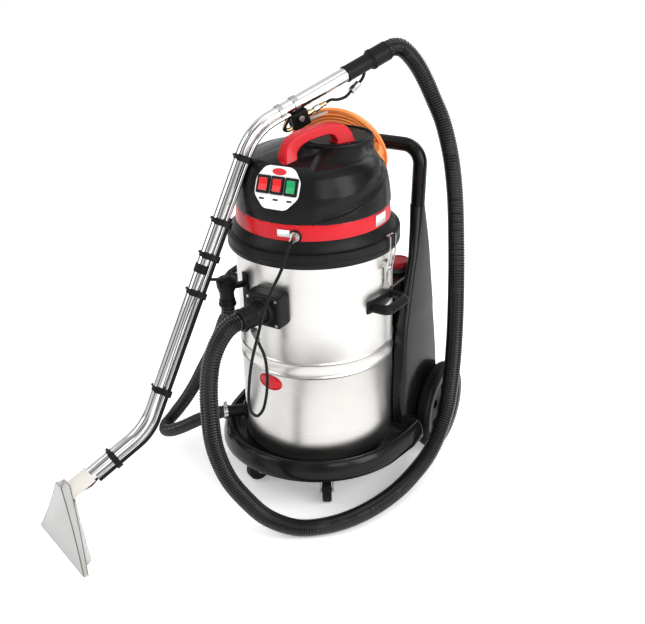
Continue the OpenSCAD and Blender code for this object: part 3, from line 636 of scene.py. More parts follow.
# tank, with the arc that fits round the drum
tank_v = []
arc = [(222.5 * cosd(a), 222.5 * sind(a)) for a in range(148, 31, -4)]
arc = [(x, y) for x, y in arc if abs(x) < 180]
tank_box = rounded_outline([(-188, 132), (188, 132), (188, 301), (-188, 301)], [0, 0, 22, 22])
tank_plan = [tuple(p) for p in tank_box[1:]] + [(-188, 132)] + arc
rows = [(0, 172), (0, 300), (0, 470), (0.5, 472), (2, 474), (2, 540), (4, 552), (9, 559), (16, 561)]
for d, z in rows:
    for x, y in tank_plan:
        r = math.hypot(x, y)
        inner = r < 231 and abs(x) < 180
        k = 0 if inner else d
        inset_x = math.copysign(min(k, abs(x)), x) if abs(x) > 120 else 0
        inset_y = k if y > 250 else 0
        tank_v.append((x - inset_x, y - inset_y, z))
n = len(tank_plan)
tank_f = grid_faces(len(rows), n)
tank_f.append(tuple(range(n - 1, -1, -1)))
tank_f.append(tuple(range((len(rows) - 1) * n, len(rows) * n)))
tank = piece("moulded_tank", tank_v, tank_f, M["gloss"], slot="gloss", angle=40)
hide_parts("solution_tank")


# side pillars: broad fins that taper into the push bar's arms
def pillar_section(z):
    t = [(172, 190, 246.5, 58, 303), (230, 190, 245, 57, 303), (290, 190, 243, 58, 303),
         (370, 190, 237, 80, 303), (455, 190, 229, 112, 303), (540, 189, 221, 153, 303),
         (625, 187, 214, 196, 303), (700, 172, 206, 232, 302), (760, 159, 199, 258, 302)]
    return [curve_at([(row[0], row[k]) for row in t], z) for k in range(1, 5)]


for s, name in ((-1, "left"), (1, "right")):
    verts, per = [], 28
    zs = [172 + 14 * k for k in range(43)]
    for z in zs:
        x0, x1, y0, y1 = pillar_section(z)
        w, d = x1 - x0, y1 - y0
        r = min(w, d) / 2 - 0.5
        r = lerp(13, r, smooth(560, 740, z))
        outline = rounded_rect(w, d, r, 6)
        for x, y in outline:
            X, Y = x + (x0 + x1) / 2, y + (y0 + y1) / 2
            rr = math.hypot(X, Y)
            if rr < 221 and z < 740:
                k = 221 / rr
                X, Y = X * k, Y * k
            step = 2.2 * smooth(262, 266, Y) * smooth(235, 260, z) * (1 - smooth(430, 470, z))
            if X > (x0 + x1) / 2 + w * 0.3:
                X -= step
            verts.append((s * X, Y, z))
    faces = grid_faces(len(zs), per, flip=(s < 0))
    foot = tuple(range(per))
    head = tuple(range((len(zs) - 1) * per, len(zs) * per))
    faces += [foot, head[::-1]] if s < 0 else [foot[::-1], head]
    fin = piece(name + "_pillar_fin", verts, faces, M["gloss"], slot="gloss", angle=50)
    if s < 0:
        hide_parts("side_pillars")

bar_path = round_path([(-179, 281, 745), (-178, 300, 924), (178, 300, 924), (179, 281, 745)], 52, 14)
bar = tube("push_bar_tube", resample(bar_path, 8), 20, 28, M["gloss"], slot="gloss")
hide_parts("push_bar")

# filler cap
CAP_X, CAP_Y, CAP_RIBS = 132, 252, 72
verts = []
cap_rows = [(30, 575), (35.2, 575), (36, 576), (36, 588), (35, 590.5), (32, 592), (27, 592.4), (25, 590.5),
            (0.01, 590.5)]
for i, (r, z) in enumerate(cap_rows):
    for k in range(CAP_RIBS):
        a = 2 * math.pi * k / CAP_RIBS
        g = 1.5 if k % 2 and 1 <= i <= 4 else 0
        verts.append(((r - g) * math.cos(a) + CAP_X, (r - g) * math.sin(a) + CAP_Y, z))
faces = grid_faces(len(cap_rows), CAP_RIBS)
cap_top = piece("ribbed_filler_cap", verts, faces, M["cap"], body="cap", slot="red", angle=30)
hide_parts("filler_cap")

# ---------------------------------------------------------------- drum
R = 215  # outside radius of the drum


def bead(z):
    return [(R, z - 5), (R + 0.8, z - 3.6), (R + 2.6, z - 1.4), (R + 3, z), (R + 2.6, z + 1.4),
            (R + 0.8, z + 3.6), (R, z + 5)]


drum_wall = [(0.001, 137), (205, 137), (212, 138.5), (214.6, 142), (R + 1.2, 150), (R + 1.2, 166), (R, 170)]
drum_wall += bead(406) + bead(446) + [(R, 600), (R, 744.5), (R - 2, 744.5), (R - 2, 142), (0.001, 142)]
drum = lathe("steel_drum", drum_wall, M["drum"], n=192, slot="steel", angle=30)
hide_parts("drum_shell")


def on_wall(name, az, z, w, h, r, mat, slot, oval=False, steps=24):
    """Thin sheet curved to the radius r, centred on the azimuth az and height z."""
    verts, faces = [], []
    if oval:
        verts.append((r * cosd(az), r * sind(az), z))
        rim = [(w / 2 * cosd(7.5 * i), h / 2 * sind(7.5 * i)) for i in range(48)]
        for f in (0.5, 1.0):
            for x, y in rim:
                a = rad(az) + x * f / r
                verts.append((r * math.cos(a), r * math.sin(a), z + y * f))
        faces = [(0, 1 + i, 1 + (i + 1) % 48) for i in range(48)]
        faces += [(1 + i, 49 + i, 49 + (i + 1) % 48, 1 + (i + 1) % 48) for i in range(48)]
    else:
        for i in range(steps + 1):
            a = rad(az) + (i / steps - 0.5) * w / r
            for zz in (z - h / 2, z + h / 2):
                verts.append((r * math.cos(a), r * math.sin(a), zz))
        faces = [(2 * i, 2 * i + 2, 2 * i + 3, 2 * i + 1) for i in range(steps)]
    ob = piece(name, verts, faces, mat, slot=slot)
    mod = ob.modifiers.new("Thick", "SOLIDIFY")
    mod.thickness = 0.3 * MM
    mod.offset = 0


on_wall("drum_badge", -97, 374, 80, 46, R + 0.5, M["oval"], "red", oval=True)
on_wall("drum_seam", 78, 445, 5, 598, R + 0.4, M["steel"], "steel", steps=2)
rivet_v, rivet_f = [], []
for az, zs in ((-118, (582, 656)), (0, (640, 560)), (180, (640, 560)), (-92, (552, 676))):
    for zz in zs:
        v, f = lathe_data([(0.001, 0), (4.5, 0), (4.2, 1.2), (2.5, 2.2), (0.001, 2.4)], 16)
        c = Vector((R * cosd(az), R * sind(az), zz))
        join(rivet_v, rivet_f, place(v, axis_matrix(c, (c.x, c.y, 0))), f)
piece("drum_rivets", rivet_v, rivet_f, M["steel"], slot="steel")

# ---------------------------------------------------------------- head: lip ring and exhaust band
lip = [(60, 748.5), (219, 748.5), (219, 730), (220, 729), (231, 729), (233.4, 730), (234.6, 732.5),
       (234.6, 742), (233.2, 744), (233.2, 747), (234.6, 749), (234.6, 763), (233.6, 766.6), (231, 768),
       (225, 768), (223.6, 768.6), (223.2, 772), (222, 776), (217, 785), (211, 795), (209.5, 796.6),
       (200, 797), (200, 757), (60, 757)]
lip_ring = lathe("head_lip_ring", lip, M["black"], n=192, slot="black", angle=28)
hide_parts("head_base")
band_v = []
band_az = [k * 0.5 for k in range(720)]
# a notch every ten degrees stands for a vent
band_rows = [(204, 797), (209, 797), (209.2, 799), (206.9, 834), (206.6, 836), (205.8, 839.4), (203, 839.6)]
for i, (r, z) in enumerate(band_rows):
    for a in band_az:
        notch = 1 if (a % 10) < 1.0 else 0
        cut = r - (1.4 * notch if i in (4, 5) else 0)
        drop = 2.2 * notch if i in (5, 6) else 0
        band_v.append((cut * cosd(a), cut * sind(a), z - drop))
band = piece("red_exhaust_band", band_v, grid_faces(len(band_rows), len(band_az)), M["red"], slot="red",
             angle=25)
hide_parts("exhaust_band")
on_wall("outlet_arch", -72, 810, 34, 36, 209.3, M["black"], "black", oval=True)
on_wall("band_sticker", -2, 818, 52, 31, 209.6, M["label"], "white")
on_wall("rating_label", -80.5, 817, 34, 19, 210.2, M["white"], "white")

# ---------------------------------------------------------------- dome
wall = [(839, 205.6), (842, 206.4), (858, 205.4), (880, 203), (905, 199), (928, 192), (950, 182), (958, 176),
        (965, 170), (971, 162), (975, 156), (990, 146)]
WALL_FOOT = 839
TOP_R = 154  # the wall's radius at its upper edge, away from the step
RIM_Z = 996.5
LX, LY, LR = 38.0, 60.0, 101.0  # centre and radius of the lid


def crest_height(az):
    """Height of the swept crease round the dome, low beside the panel and high at the back."""
    return curve_at([(-60, 850), (-48, 853), (-30, 866), (-5, 896), (15, 915), (35, 930), (60, 941),
                     (90, 946)], az)


def dome_point(az, t):
    """t 0..1 climbs the wall, 1..2 crosses the top to the lid's rim."""
    a = rad(az)
    b = (az + 180) % 360 - 180
    scoop = smooth(-61, -57, b) * (1 - smooth(50, 66, b))
    back = smooth(-126, -134, b) if b < 0 else smooth(66, 80, b)
    side = curve_at([(-60, 966), (0, 971), (30, 980), (60, 989), (80, 989)], b)
    top_z = lerp(lerp(975, side, scoop), 968, back)
    off = LX * math.cos(a) + LY * math.sin(a)
    rim_r = off + math.sqrt(max(0, LR * LR - LX * LX - LY * LY + off * off)) + 2.5
    flare = scoop * smooth(-10, 25, b)
    if t <= 1:
        z = lerp(WALL_FOOT, top_z, t)
        r = curve_at(wall, z)
        if z > top_z - 5:
            r -= (z - top_z + 5) ** 2 * 0.04
        r += max(0, rim_r - r) * flare * smooth(930, top_z, z)
        inside = smooth(-62, -50, b) * (1 - smooth(80, 100, b))
        crease = smooth(0, 5, crest_height(b) - z) * inside
        r += 3.4 * crease - 5.0 * inside * (1 - crease) * smooth(42, 6, z - crest_height(b))
        return Vector((r * math.cos(a), r * math.sin(a), z))
    u = t - 1
    edge_r = lerp(TOP_R, curve_at(wall, top_z - 1), scoop) - 1
    edge_r += max(0, rim_r - edge_r) * flare
    edge = Vector((edge_r * math.cos(a), edge_r * math.sin(a), top_z))
    toward = Vector((edge.x - LX, edge.y - LY, 0)).normalized()
    rim = Vector((LX + LR * toward.x, LY + LR * toward.y, RIM_Z))
    reach = (Vector((edge.x, edge.y, 0)) - Vector((rim.x, rim.y, 0))).length
    p = edge.lerp(rim, u)
    gap = min(1.0, reach / 40)
    flat = lerp(edge.z, rim.z, u)
    dip = 1.2 * math.sin(math.pi * u * 1.6) * gap if u < 0.62 else 0
    hollow = lerp(edge.z, rim.z, u ** 1.2) - dip
    crown = flat + 2.5 * math.sin(math.pi * u) * gap
    p.z = lerp(crown, hollow, scoop)
    return p


PANEL = spin(3, "Z") @ move(0, -184.4, 929.7) @ spin(66, "X")
panel_n = (PANEL.to_3x3() @ Vector((0, 0, 1))).normalized()
panel_o = PANEL @ Vector((0, 0, 0))
azs = range(360)
ts = [k / 90 for k in range(91)] + [1 + k / 22 for k in range(1, 23)]
verts = []
for t in ts:
    for az in azs:
        p = dome_point(az, t)
        over = (p - panel_o).dot(panel_n)
        if over > -0.2:
            p = p - panel_n * (over + 0.2)
        verts.append(p)
n = len(azs)
faces = grid_faces(len(ts), n)
dome = piece("moulded_dome", verts, faces, M["dome"], slot="black", angle=26)
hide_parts("dome_cover")

# lid over the motors: rim and dished plate
lid_profile = [(0.001, 989), (99, 989), (102.5, 990), (104, 993), (104, 999), (102.6, 1002), (99.5, 1002.6),
               (97.5, 1001), (97, 998), (94, 997), (88, 998.6), (80, 999), (0.001, 999.4)]
lid = lathe("lid_shell", lid_profile, M["black"], origin=(LX, LY, 0), n=120, slot="black", angle=28)
lathe("lid_plate", [(0.001, 999), (84, 999), (86, 999.8), (85, 1001), (0.001, 1001.6)], M["lid"],
      origin=(LX, LY, 0), n=96, slot="black")
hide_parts("motor_cover")

# carry handle, lofted from paired outer and inner points along its length
outer = [(-18, 975), (-16, 990), (-12, 1008), (-2, 1026), (14, 1038), (34, 1045), (62, 1051), (110, 1055),
         (148, 1052), (172, 1040), (186, 1020), (190, 999)]
inner = [(18, 975), (19, 986), (21, 996), (26, 1004), (33, 1012), (45, 1018), (62, 1024), (108, 1030),
         (127, 1026), (137, 1014), (139, 1006), (140, 999)]
widths = [50, 44, 37, 34, 34, 34, 34, 34, 34, 35, 36, 38]
H = move(2, -122, 0) @ spin(61, "Z")


def resample_open(values, n):
    """n rows through the given rows of numbers, by a uniform Catmull-Rom curve."""
    out = []
    for k in range(n):
        f = k / (n - 1) * (len(values) - 1)
        i = min(int(f), len(values) - 2)
        t = f - i
        p0, p1 = values[max(0, i - 1)], values[i]
        p2, p3 = values[i + 1], values[min(len(values) - 1, i + 2)]
        out.append(tuple(0.5 * (2 * b + (c - a) * t + (2 * a - 5 * b + 4 * c - d) * t * t
                                + (3 * b - a - 3 * c + d) * t ** 3)
                         for a, b, c, d in zip(p0, p1, p2, p3)))
    return out


hn = 46
ho, hi, hw = resample_open(outer, hn), resample_open(inner, hn), resample_open([(w,) for w in widths], hn)
verts, per = [], 32
for (sx, sz), (tx, tz), (w,) in zip(ho, hi, hw):
    o, i = Vector((sx, 0, sz)), Vector((tx, 0, tz))
    mid, d = (o + i) / 2, (o - i)
    thick, d = d.length, d.normalized()
    for y, x in rounded_rect(w, thick, min(w, thick) * 0.13, 7):
        verts.append(mid + d * x + Vector((0, y, 0)))
verts = place(verts, H)
faces = grid_faces(hn, per)
faces += [tuple(range(per - 1, -1, -1)), tuple(range((hn - 1) * per, hn * per))]
grip = piece("carry_handle_grip", verts, faces, M["red"], slot="red", angle=50)
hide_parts("carry_handle")
box("handle_foot", (44, 40, 6), M["red"], H, centre=(0, 0, 976.5), slot="red", bevel=3)
box("handle_block", (54, 40, 8), M["red"], H, centre=(164, 0, 1003), slot="red", bevel=3)
for k, (x, y) in enumerate(((-12, 14), (-12, -14), (12, 14), (12, -14))):
    lathe("foot_screw_%d" % k, disc_profile(4, 2.4, 0.8), M["zinc"], origin=H @ Vector((x, y, 980.4)), n=20,
          slot="steel")

# ---------------------------------------------------------------- switch panel
plate_out = rounded_outline([(-32, -58), (32, -58), (63, -24), (63, 18), (40, 51), (-40, 51), (-63, 18),
                             (-63, -24)], [26, 26, 28, 28, 28, 28, 28, 28])
prism("switch_plate", [tuple(p) for p in plate_out], 2.4, M["white"], PANEL, slot="white", bevel=0.8,
      angle=40)
ON_PLATE = PANEL @ move(0, 0, 2.4)
SWITCH_PITCH = 39.5
oval = [(20 * cosd(a), 37 + 8.5 * sind(a)) for a in range(0, 360, 6)]
prism("panel_badge", oval, 0.5, M["oval"], ON_PLATE, slot="red")
for i in (-1, 0, 1):
    verts, faces = [], []
    rows = [(37, 46, 0, 3.2), (37, 46, 2.4, 3.2), (35, 44, 4.4, 2.6), (27, 35, 4.6, 1.2),
            (25.4, 33.4, 3.6, 1.0), (25.2, 33.2, -12, 1.0)]
    for w, h, z, r in rows:
        verts += [(x + i * SWITCH_PITCH, y + 2, z) for x, y in rounded_rect(w, h, r, 4)]
    ob = piece("switch_bezel_%d" % (i + 2), place(verts, ON_PLATE), grid_faces(len(rows), 20), M["black"],
               slot="black", angle=30)
    if i == 0:
        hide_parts("control_panel")
    dash = [(x + i * SWITCH_PITCH, y - 34) for x, y in ((-7, -2.2), (7, -2.2), (7, 2.2), (-7, 2.2))]
    prism("panel_mark_%d" % (i + 2), dash, 0.4, M["lid"], ON_PLATE, slot="black")

# ---------------------------------------------------------------- wand
FOOT = Vector((-36.8, 18.8, 0))
W = Matrix.Translation(FOOT) @ spin(62.94, "Z")
TOP, MAIN, LOW = 18.4, 63.5, 26.4  # slopes of the wand's three lengths, in degrees
C_TOP, C_LOW = (-152, 1046), (-530, 288)  # where their centre lines cross
TUBE_R = 19


def tan(a):
    return math.tan(rad(a))


def wand_route(first, last, drop, r):
    """Route beside the wand's centre line, dropped square to it, with bends of radius r."""
    h1, h2 = (MAIN - TOP) / 2, (MAIN - LOW) / 2
    m1, m2 = (MAIN + TOP) / 2, (MAIN + LOW) / 2
    a = (first + sind(TOP) * drop, 0, C_TOP[1] + (first - C_TOP[0]) * tan(TOP) - cosd(TOP) * drop)
    b1, c1 = drop / cosd(h1), drop / cosd(h2)
    b = (C_TOP[0] + sind(m1) * b1, 0, C_TOP[1] - cosd(m1) * b1)
    c = (C_LOW[0] + sind(m2) * c1, 0, C_LOW[1] - cosd(m2) * c1)
    d = (last + sind(LOW) * drop, 0, C_LOW[1] + (last - C_LOW[0]) * tan(LOW) - cosd(LOW) * drop)
    return [W @ p for p in round_path([a, b, c, d], r, 12)]


def along(kind, at):
    """Frame on one of the wand's lengths: +X down the wand, +Z away from its underside."""
    if kind == "top":
        s, z, a = at, C_TOP[1] + (at - C_TOP[0]) * tan(TOP), TOP
    elif kind == "main":
        s, z, a = C_LOW[0] + (at - C_LOW[1]) / tan(MAIN), at, MAIN
    else:
        s, z, a = at, C_LOW[1] + (at - C_LOW[0]) * tan(LOW), LOW
    return W @ move(s, 0, z) @ Matrix.Rotation(math.pi, 4, "Z") @ spin(a, "Y")


wand_path = resample(wand_route(222, -712, 0, 150), 5)
wand = tube("bent_wand_tube", wand_path, TUBE_R, 112, M["chrome"], body="wand", slot="chrome")
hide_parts("wand_tube")
LINE_SIDE = rad(68)  # how far round the wand from its underside the lines are clipped


def line_route(first, out):
    aside = W.to_3x3() @ Vector((0, -math.sin(LINE_SIDE) * out, 0))
    return [p + aside for p in wand_route(first, -690, math.cos(LINE_SIDE) * out, 135)]


spray_path = resample(line_route(-52.8, 25.2), 6)
spray_line = tube("spray_line", spray_path, 4.9, 36, M["chrome"], body="wand", slot="hose")
lower = [p for p in resample(line_route(-100, 34.6), 6) if p[2] < 838]
tube("lower_line", lower, 3.9, 12, M["black"], body="wand", slot="hose")
jumper = ((75.3, 0, 1077.4), (92, 0, 1082.9), (114, 0, 1080), (140.8, 0, 1084.2), (156.9, 0, 1095.9))
jumper_path = spline([W @ Vector(p) for p in jumper], 4)
tube("jumper_line", jumper_path, 3.9, 12, M["black"], body="wand", slot="hose")
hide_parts("wand_lines")

# cuff between wand and suction hose
cuff = along("top", 276)
cuff_profile = [(15, 0), (25.5, 0), (26.5, 1.5), (26.5, 6), (25.4, 7), (25.4, 10), (26.5, 11), (26.5, 50),
                (28, 51), (28, 57), (26.5, 58), (25.8, 61), (22.2, 65), (21.5, 67), (21.5, 138), (22.6, 139),
                (22.6, 144), (21.6, 145), (19.1, 145), (19.1, 12), (15, 12)]
ob = lathe_in("hose_cuff", cuff_profile, M["black"], cuff, body="wand", slot="black", n=64)
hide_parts("wand_cuff")


def clip(name, m, size=17, reach=42):
    """Ring clip round the wand, its saddle reaching past the lines, with a nut and bolt opposite."""
    m = m @ Matrix.Rotation(LINE_SIDE, 4, "X")
    band = [(19.1, 2), (19.9, 2), (19.9, size - 2), (19.1, size - 2)]
    lathe_in(name + "_band", band, M["black"], m, body="wand", slot="black", n=48)
    arc = [(22.8 * sind(a), -22.8 * cosd(a)) for a in range(-82, -21, 10)]
    inner = [(19.2 * sind(a), -19.2 * cosd(a)) for a in range(82, -83, -8)]
    foot = [(-8, 3 - reach), (-5, -reach), (5, -reach), (8, 3 - reach)]
    saddle = arc + foot + [(-x, y) for x, y in arc[::-1]] + inner
    across = m @ Matrix(((0, 0, 1, 0), (1, 0, 0, 0), (0, 1, 0, 0), (0, 0, 0, 1)))
    ob = prism(name, saddle, size, M["black"], across, body="wand", slot="black", bevel=0.8, angle=40)
    hexa = [(4.4 * cosd(a), 4.4 * sind(a)) for a in range(0, 360, 60)]
    prism(name + "_nut", hexa, 7, M["black"], m @ move(size / 2, 0, 19.6), body="wand",
          slot="black", bevel=0.8)
    lathe_in(name + "_bolt", disc_profile(2.4, 4, 0.6), M["zinc"], m, (size / 2, 0, 26), (0, 0, 1),
             body="wand", slot="steel", n=20)
    return ob


top_clip = clip("clip_1", along("main", 985), reach=31.5)
for k, z in enumerate((830, 745, 652, 400)):
    clip("clip_%d" % (k + 2), along("main", z))
clip("clip_6", along("low", -625))
lathe_in("joint_collar", tube_profile(20.1, TUBE_R, 24, 0.4), M["black"], along("main", 714), body="wand",
         slot="black", n=48)
lathe_in("upper_collar", tube_profile(21.8, TUBE_R, 14, 1.2), M["zinc"], along("top", -60), body="wand",
         slot="steel", n=48)
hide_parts("wand_fittings")
hexa = [(11 * cosd(a), 11 * sind(a)) for a in range(0, 360, 60)]
nut = W @ move(157, 0, 1096) @ spin(54, "Y")
prism("swivel_nut", hexa, 15, M["zinc"], nut, body="wand", slot="steel", bevel=1)
lathe_in("swivel_body", disc_profile(9, 17), M["zinc"], nut, (0, 0, 14), (0, 0, 1), body="wand", slot="steel",
         n=32)
tail = spline([nut @ Vector(p) for p in ((0, 0, 28), (0, 0, 44), (-8, 0, 60), (-20, 0, 70))], 3)
tube("line_tail", tail, 4, 12, M["black"], body="wand", slot="hose")

# spray valve, its bracket and fittings, above the head
v = along("top", -22) @ move(0, 0, -44)
ob = box("valve_body", (50, 30, 23), M["black"], v, centre=(1, 0, 12.5), body="wand", slot="black", bevel=3)
for s in (-1, 1):
    box("valve_cheek_%s" % ("a" if s < 0 else "b"), (50, 8.6, 24), M["black"], v, centre=(1, s * 10.6, -8),
        body="wand", slot="black", bevel=2)
box("valve_back", (29, 13, 22), M["black"], v, centre=(11, 0, -8.5), body="wand", slot="black", bevel=1)
lathe_in("valve_band", tube_profile(22, TUBE_R, 16, 1), M["zinc"], along("top", -14), body="wand",
         slot="steel", n=48)
lathe_in("valve_cap", disc_profile(8.5, 12, 2), M["zinc"], v, (4, 15, 8), (0, 1, 0), body="wand",
         slot="steel", n=32)
lathe_in("valve_cap_far", disc_profile(7.5, 8, 2), M["zinc"], v, (4, -15, 8), (0, -1, 0), body="wand",
         slot="steel", n=32)
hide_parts("spray_valve")
q = along("top", 1) @ move(0, 0, -42)
stem_profile = [(0.001, 0), (8, 0), (8.6, 2), (8.6, 12), (6, 14), (6, 46), (7, 47), (7, 52), (5.4, 54),
                (5.4, 57), (6.4, 58), (6.4, 63), (0.001, 64)]
lathe_in("coupler_stem", stem_profile, M["brass"], q, axis=(-1, 0, 0), body="wand", slot="steel", n=32)
elbow = spline([v @ Vector((24, 0, -10)), v @ Vector((38, 0, -12)), v @ Vector((50, 0, -4)),
                along("top", -54) @ Vector((0, 23.4, -9.4))], 3)
tube("valve_elbow", elbow, 5.4, 16, M["brass"], body="wand", slot="steel")

# ---------------------------------------------------------------- floor tool
T = move(-404, -700, 0) @ spin(67, "Z")


FAN_TOP = 203


def fan_section(t):
    """t 0 at the lip, 1 at the slot under the wand: half width, front x, back x, height."""
    z = lerp(0.5, FAN_TOP, t)
    half = lerp(142, 18, t ** 0.94)
    x0 = lerp(0, 21, t) + 3 * math.sin(math.pi * t)
    return half, x0, x0 + lerp(14, 26, t), z


def shell(name, wall, mat, slot, **k):
    """Hollow flat fan: an outer skin and an inner one, joined at the lip."""
    verts, rows, n = [], 18, 36
    for i in range(rows):
        half, x0, x1, z = fan_section(i / (rows - 1))
        for x, y in rounded_rect(x1 - x0, 2 * half, 4, 8):
            verts.append((x + (x0 + x1) / 2, y, z))
    for i in range(rows - 1, -1, -1):
        half, x0, x1, z = fan_section(i / (rows - 1))
        for x, y in rounded_rect(x1 - x0 - 2 * wall, 2 * half - 2 * wall, 2.5, 8):
            verts.append((x + (x0 + x1) / 2, y, z - (wall if i == rows - 1 else 0)))
    faces = grid_faces(2 * rows, n)
    last = (2 * rows - 1) * n
    faces += [(i, last + i, last + (i + 1) % n, (i + 1) % n) for i in range(n)]
    return piece(name, place(verts, T), faces, mat, body="wand", slot=slot, **k)


tool = shell("clear_fan", 2.2, M["clear"], "clear", angle=50)
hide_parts("floor_tool")
verts, faces = [], []
for t in [k / 12 for k in range(13)]:
    z = lerp(3, 152, t)
    half = lerp(108, 24, t ** 0.9)
    x = lerp(56, 57, t)
    for u in [k / 16 for k in range(17)]:
        y = lerp(-half, half, u)
        bow = 1 - (2 * u - 1) ** 4
        verts.append((lerp(fan_section(z / FAN_TOP)[2] + 1, x, bow ** 0.5 if bow > 0 else 0), y, z))
guard = piece("splash_guard", place(verts, T), grid_faces(13, 17, wrap=False), M["clear"], body="wand",
              slot="clear")
mod = guard.modifiers.new("Thick", "SOLIDIFY")
mod.thickness = 2 * MM
sleeve = along("low", -698)
socket = [(19.1, 0), (22.6, 0), (23.6, 1.2), (23.6, 74), (21, 76), (19.1, 76)]
lathe_in("tool_socket", socket, M["frost"], sleeve, body="wand", slot="clear", n=64)
wall_v = []
for i in range(17):
    half, x0, x1, z = fan_section(i / 16)
    wall_v += [T @ Vector((x, 2.9 - half, lerp(3, 200, i / 16))) for x in (x0 + 2.6, x1 - 2.6)]
side_wall = piece("fan_side_wall", wall_v, [(2 * i, 2 * i + 1, 2 * i + 3, 2 * i + 2) for i in range(16)],
                  M["tan"], body="wand", slot="clear")
side_wall.modifiers.new("Thick", "SOLIDIFY").thickness = 0.6 * MM
EDGES = {"front_left": (1, 1), "front_right": (1, -1), "back_right": (2, -1), "back_left": (2, 1)}
for name, (k, s) in EDGES.items():
    edge_line = []
    for i in range(17):
        section = fan_section(i / 16)
        inward = 1.6 if k == 1 else -1.6
        edge_line.append(T @ Vector((section[k] + inward, s * (section[0] - 1.6), section[3])))
    tube("fan_edge_" + name, edge_line, 1.5, 12, M["smoke"], body="wand", slot="clear")
lathe("jet_stem", [(0.001, 0), (7, 0), (7, 40), (9, 44), (9, 60), (0.001, 60)], M["black"],
      origin=T @ Vector((40, 0, 62)), body="wand", slot="black", n=24)
lathe("jet_nozzle", [(0.001, 0), (6, 0), (10, 5), (10, 15), (0.001, 15)], M["brass"],
      origin=T @ Vector((40, 0, 47)), body="wand", slot="steel", n=24)
jet = spline([along("low", -690) @ Vector((0, 0, -25.2)), along("low", -712) @ Vector((0, 0, -30)),
              T @ Vector((52, 0, 150)), T @ Vector((42, 0, 118))], 4)
tube("jet_line", jet, 4.2, 14, M["black"], body="wand", slot="hose")
box("tool_lip", (15, 284, 5), M["clear"], T, centre=(8, 0, 3), body="wand", slot="clear", bevel=2.5)

# ---------------------------------------------------------------- drum fittings
A92 = spin(-92, "Z") @ move(0, 0, 612)
ob = box("inlet_housing", (50, 108, 90), M["black"], A92, centre=(233, 0, 0), slot="black", bevel=9)
lathe_in("inlet_boss", [(20, 0), (37, 0), (37, 3), (34, 5), (32, 12), (20, 12)], M["black"], A92, (257, 0, 0),
         slot="black", n=64)
for y in (-43, 43):
    for z in (-34, 34):
        lathe_in("inlet_screw_%d_%d" % (y, z), disc_profile(4.2, 2.2, 0.8), M["zinc"], A92, (257.4, y, z),
                 slot="steel", n=20)
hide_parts("inlet_box")
cd = Vector((-0.4416, -0.8819, -0.165))
c0 = Vector((-9, -252, 612))
cuff2 = [(20, -4), (30, -4), (30, 22), (31, 24), (31, 30), (30, 32), (29.4, 60), (31.4, 62), (31.6, 70),
         (30.6, 72), (20, 72)]
ob = lathe("inlet_sleeve", cuff2, M["black"], origin=c0, direction=cd, slot="black", n=64)
relief_profile = [(0.001, 0), (6, 0), (6.4, 3), (5.6, 5), (6.8, 9), (6, 11), (7.4, 15), (6.8, 17), (8.2, 22),
                  (9, 40), (0.001, 40)]
lathe("strain_relief", relief_profile, M["grey"], origin=(-8, -286, 540), direction=(0, -0.3746, 0.927),
      slot="grey", n=28)
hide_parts("inlet_cuff")
for s in (-1, 1):
    G = spin(-3, "Z")
    if s < 0:
        G = Matrix.Scale(-1, 4, Vector((1, 0, 0))) @ G
    path = round_path([(214, -50, 586), (262, -50, 586), (262, 50, 586), (214, 50, 586)], 17, 8)
    hv, hf = sweep(resample(path, 5), 1, shape=rounded_rect(26, 17, 6, 5))
    hv = [G @ Vector(p) for p in hv]
    ob = piece("side_handle_%s" % ("left" if s < 0 else "right"), hv, [f[::-1] for f in hf] if s < 0 else hf,
               M["black"], slot="black", angle=50)
    if s > 0:
        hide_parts("side_handles")
    pv = []
    for i in range(25):
        a = (i / 24 - 0.5) * 132 / 217
        for r, z in ((215.2, 568), (218, 569), (220.4, 574), (220.4, 598), (218, 603), (215.2, 604)):
            pv.append(G @ Vector((r * math.cos(a), r * math.sin(a), z)))
    pf = grid_faces(25, 6)
    pf += [tuple(range(5, -1, -1)), tuple(range(144, 150))]
    piece("handle_plate_%s" % ("left" if s < 0 else "right"), pv, [f[::-1] for f in pf] if s < 0 else pf,
          M["black"], slot="black", bevel=1)

O = spin(-140, "Z") @ move(0, 0, 208)
flange_profile = [(13, 215.6), (27, 215.6), (27, 219), (24, 221), (17, 222), (17, 267), (13, 267)]
ob = lathe_in("drain_flange", flange_profile, M["black"], O, slot="black", n=48)
lathe_in("drain_clamp", tube_profile(21, 19.2, 12, 0.5), M["steel"], O, (270, 0, 0), slot="steel", n=48)
box("clamp_screw", (9, 20, 9), M["zinc"], O, centre=(276, 0, 24), slot="steel", bevel=1)
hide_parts("drain_outlet")
D = (-151, -212, 580)
spigot = [(13, 0), (22, 0), (24, 2), (24, 8), (22, 10), (22, 18), (20, 20), (20, 40), (22.6, 44), (22.6, 52),
          (13, 52)]
ob = lathe("drain_spigot", spigot, M["black"], origin=D, slot="black", n=48)
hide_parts("drain_end")
B = spin(-118, "Z")
box("drain_bracket", (4, 28, 108), M["black"], B, centre=(217.6, 0, 622), slot="black", bevel=1.2)
box("bracket_arm", (34, 18, 12), M["black"], spin(-121.5, "Z"), centre=(232, 0, 640), slot="black", bevel=2)
lid_rows = [(0.001, -15.9), (12.9, -15.9), (12.9, 0.5), (25, 0.5), (26, 2), (26, 14), (27, 15), (27, 22),
            (25, 24), (16, 30), (0.001, 30)]
ob = lathe("drain_lid", lid_rows, M["black"], origin=(-151, -212, 632.4), body="drain_plug", slot="black",
           n=48)
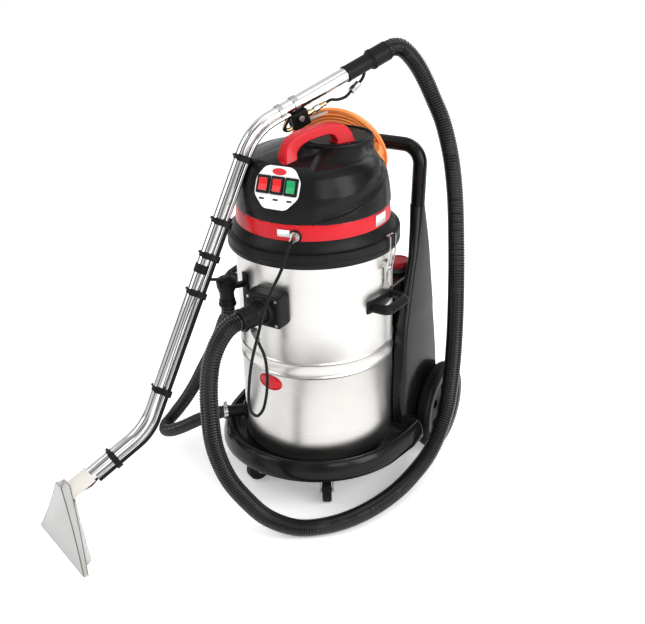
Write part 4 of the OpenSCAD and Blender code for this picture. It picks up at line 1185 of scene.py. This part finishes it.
box("drain_tab", (40, 12, 5), M["black"], move(-151, -212, 656) @ spin(-150, "Z"),
    centre=(24, 0, 0), body="drain_plug", slot="black", bevel=1.5)
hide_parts("drain_cap")

# ---------------------------------------------------------------- wheels
for s, name in ((-1, "left"), (1, "right")):
    d = (s, 0, 0)
    o = (s * 248, 262, 133)
    tyre = [(104, 2), (112, 0.5), (124, 1), (129, 4), (131.5, 8), (133, 13)]
    for k in range(5):
        z = 15 + k * 3.4
        tyre += [(133, z), (133, z + 2), (131.6, z + 2.4), (131.6, z + 3.0)]
    tyre += [(133, 33), (131.5, 37), (129, 40), (124, 43), (121, 43.5), (119, 42.4), (112, 43.4), (106, 43),
             (104, 42)]
    ob = lathe(name + "_tyre_tread", tyre, M["rubber"], origin=o, direction=d, body=name + "_wheel",
               slot="tyre", n=144)
    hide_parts(name + "_tyre")
    ring_v = [(106.5, 42.8), (118.5, 43.2), (118, 43.9), (107, 43.9)]
    lathe(name + "_wheel_ring", ring_v, M["face"], origin=o, direction=d, body=name + "_wheel", slot="tyre",
          n=120)

# ---------------------------------------------------------------- finishes on the carried-over pieces
FINISHES = {
    "grey": ["tank_neck"],
    "rubber": ["cap_gasket", "left_castor_wheel", "right_castor_wheel", "head_gasket"],
    "zinc": ["rear_axle", "left_castor_fork", "right_castor_fork", "vacuum_motors", "head_screws",
             "spray_trigger"],
    "black": ["axle_caps", "left_hub", "right_hub", "inlet_deflector", "solution_pump", "float_cage"],
    "steel": ["latch_brackets", "left_latch_lever", "right_latch_lever", "left_latch_bail", "right_latch_bail",
              "pump_outlet", "coupler_sleeve"],
    "switch_red": ["left_rocker", "middle_rocker"],
    "switch_green": ["right_rocker"],
    "white": ["float_ball"],
}
for node, key in ((node, key) for key, nodes in FINISHES.items() for node in nodes):
    ob = bpy.data.objects.get(node)
    if ob is None:
        continue
    if not ob.data.materials:
        ob.data.materials.append(M[key])
    for slot_ in ob.material_slots:
        slot_.material = M[key]

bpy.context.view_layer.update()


def plain(b):
    return [[round(float(c), 5) for c in corner] for corner in b]
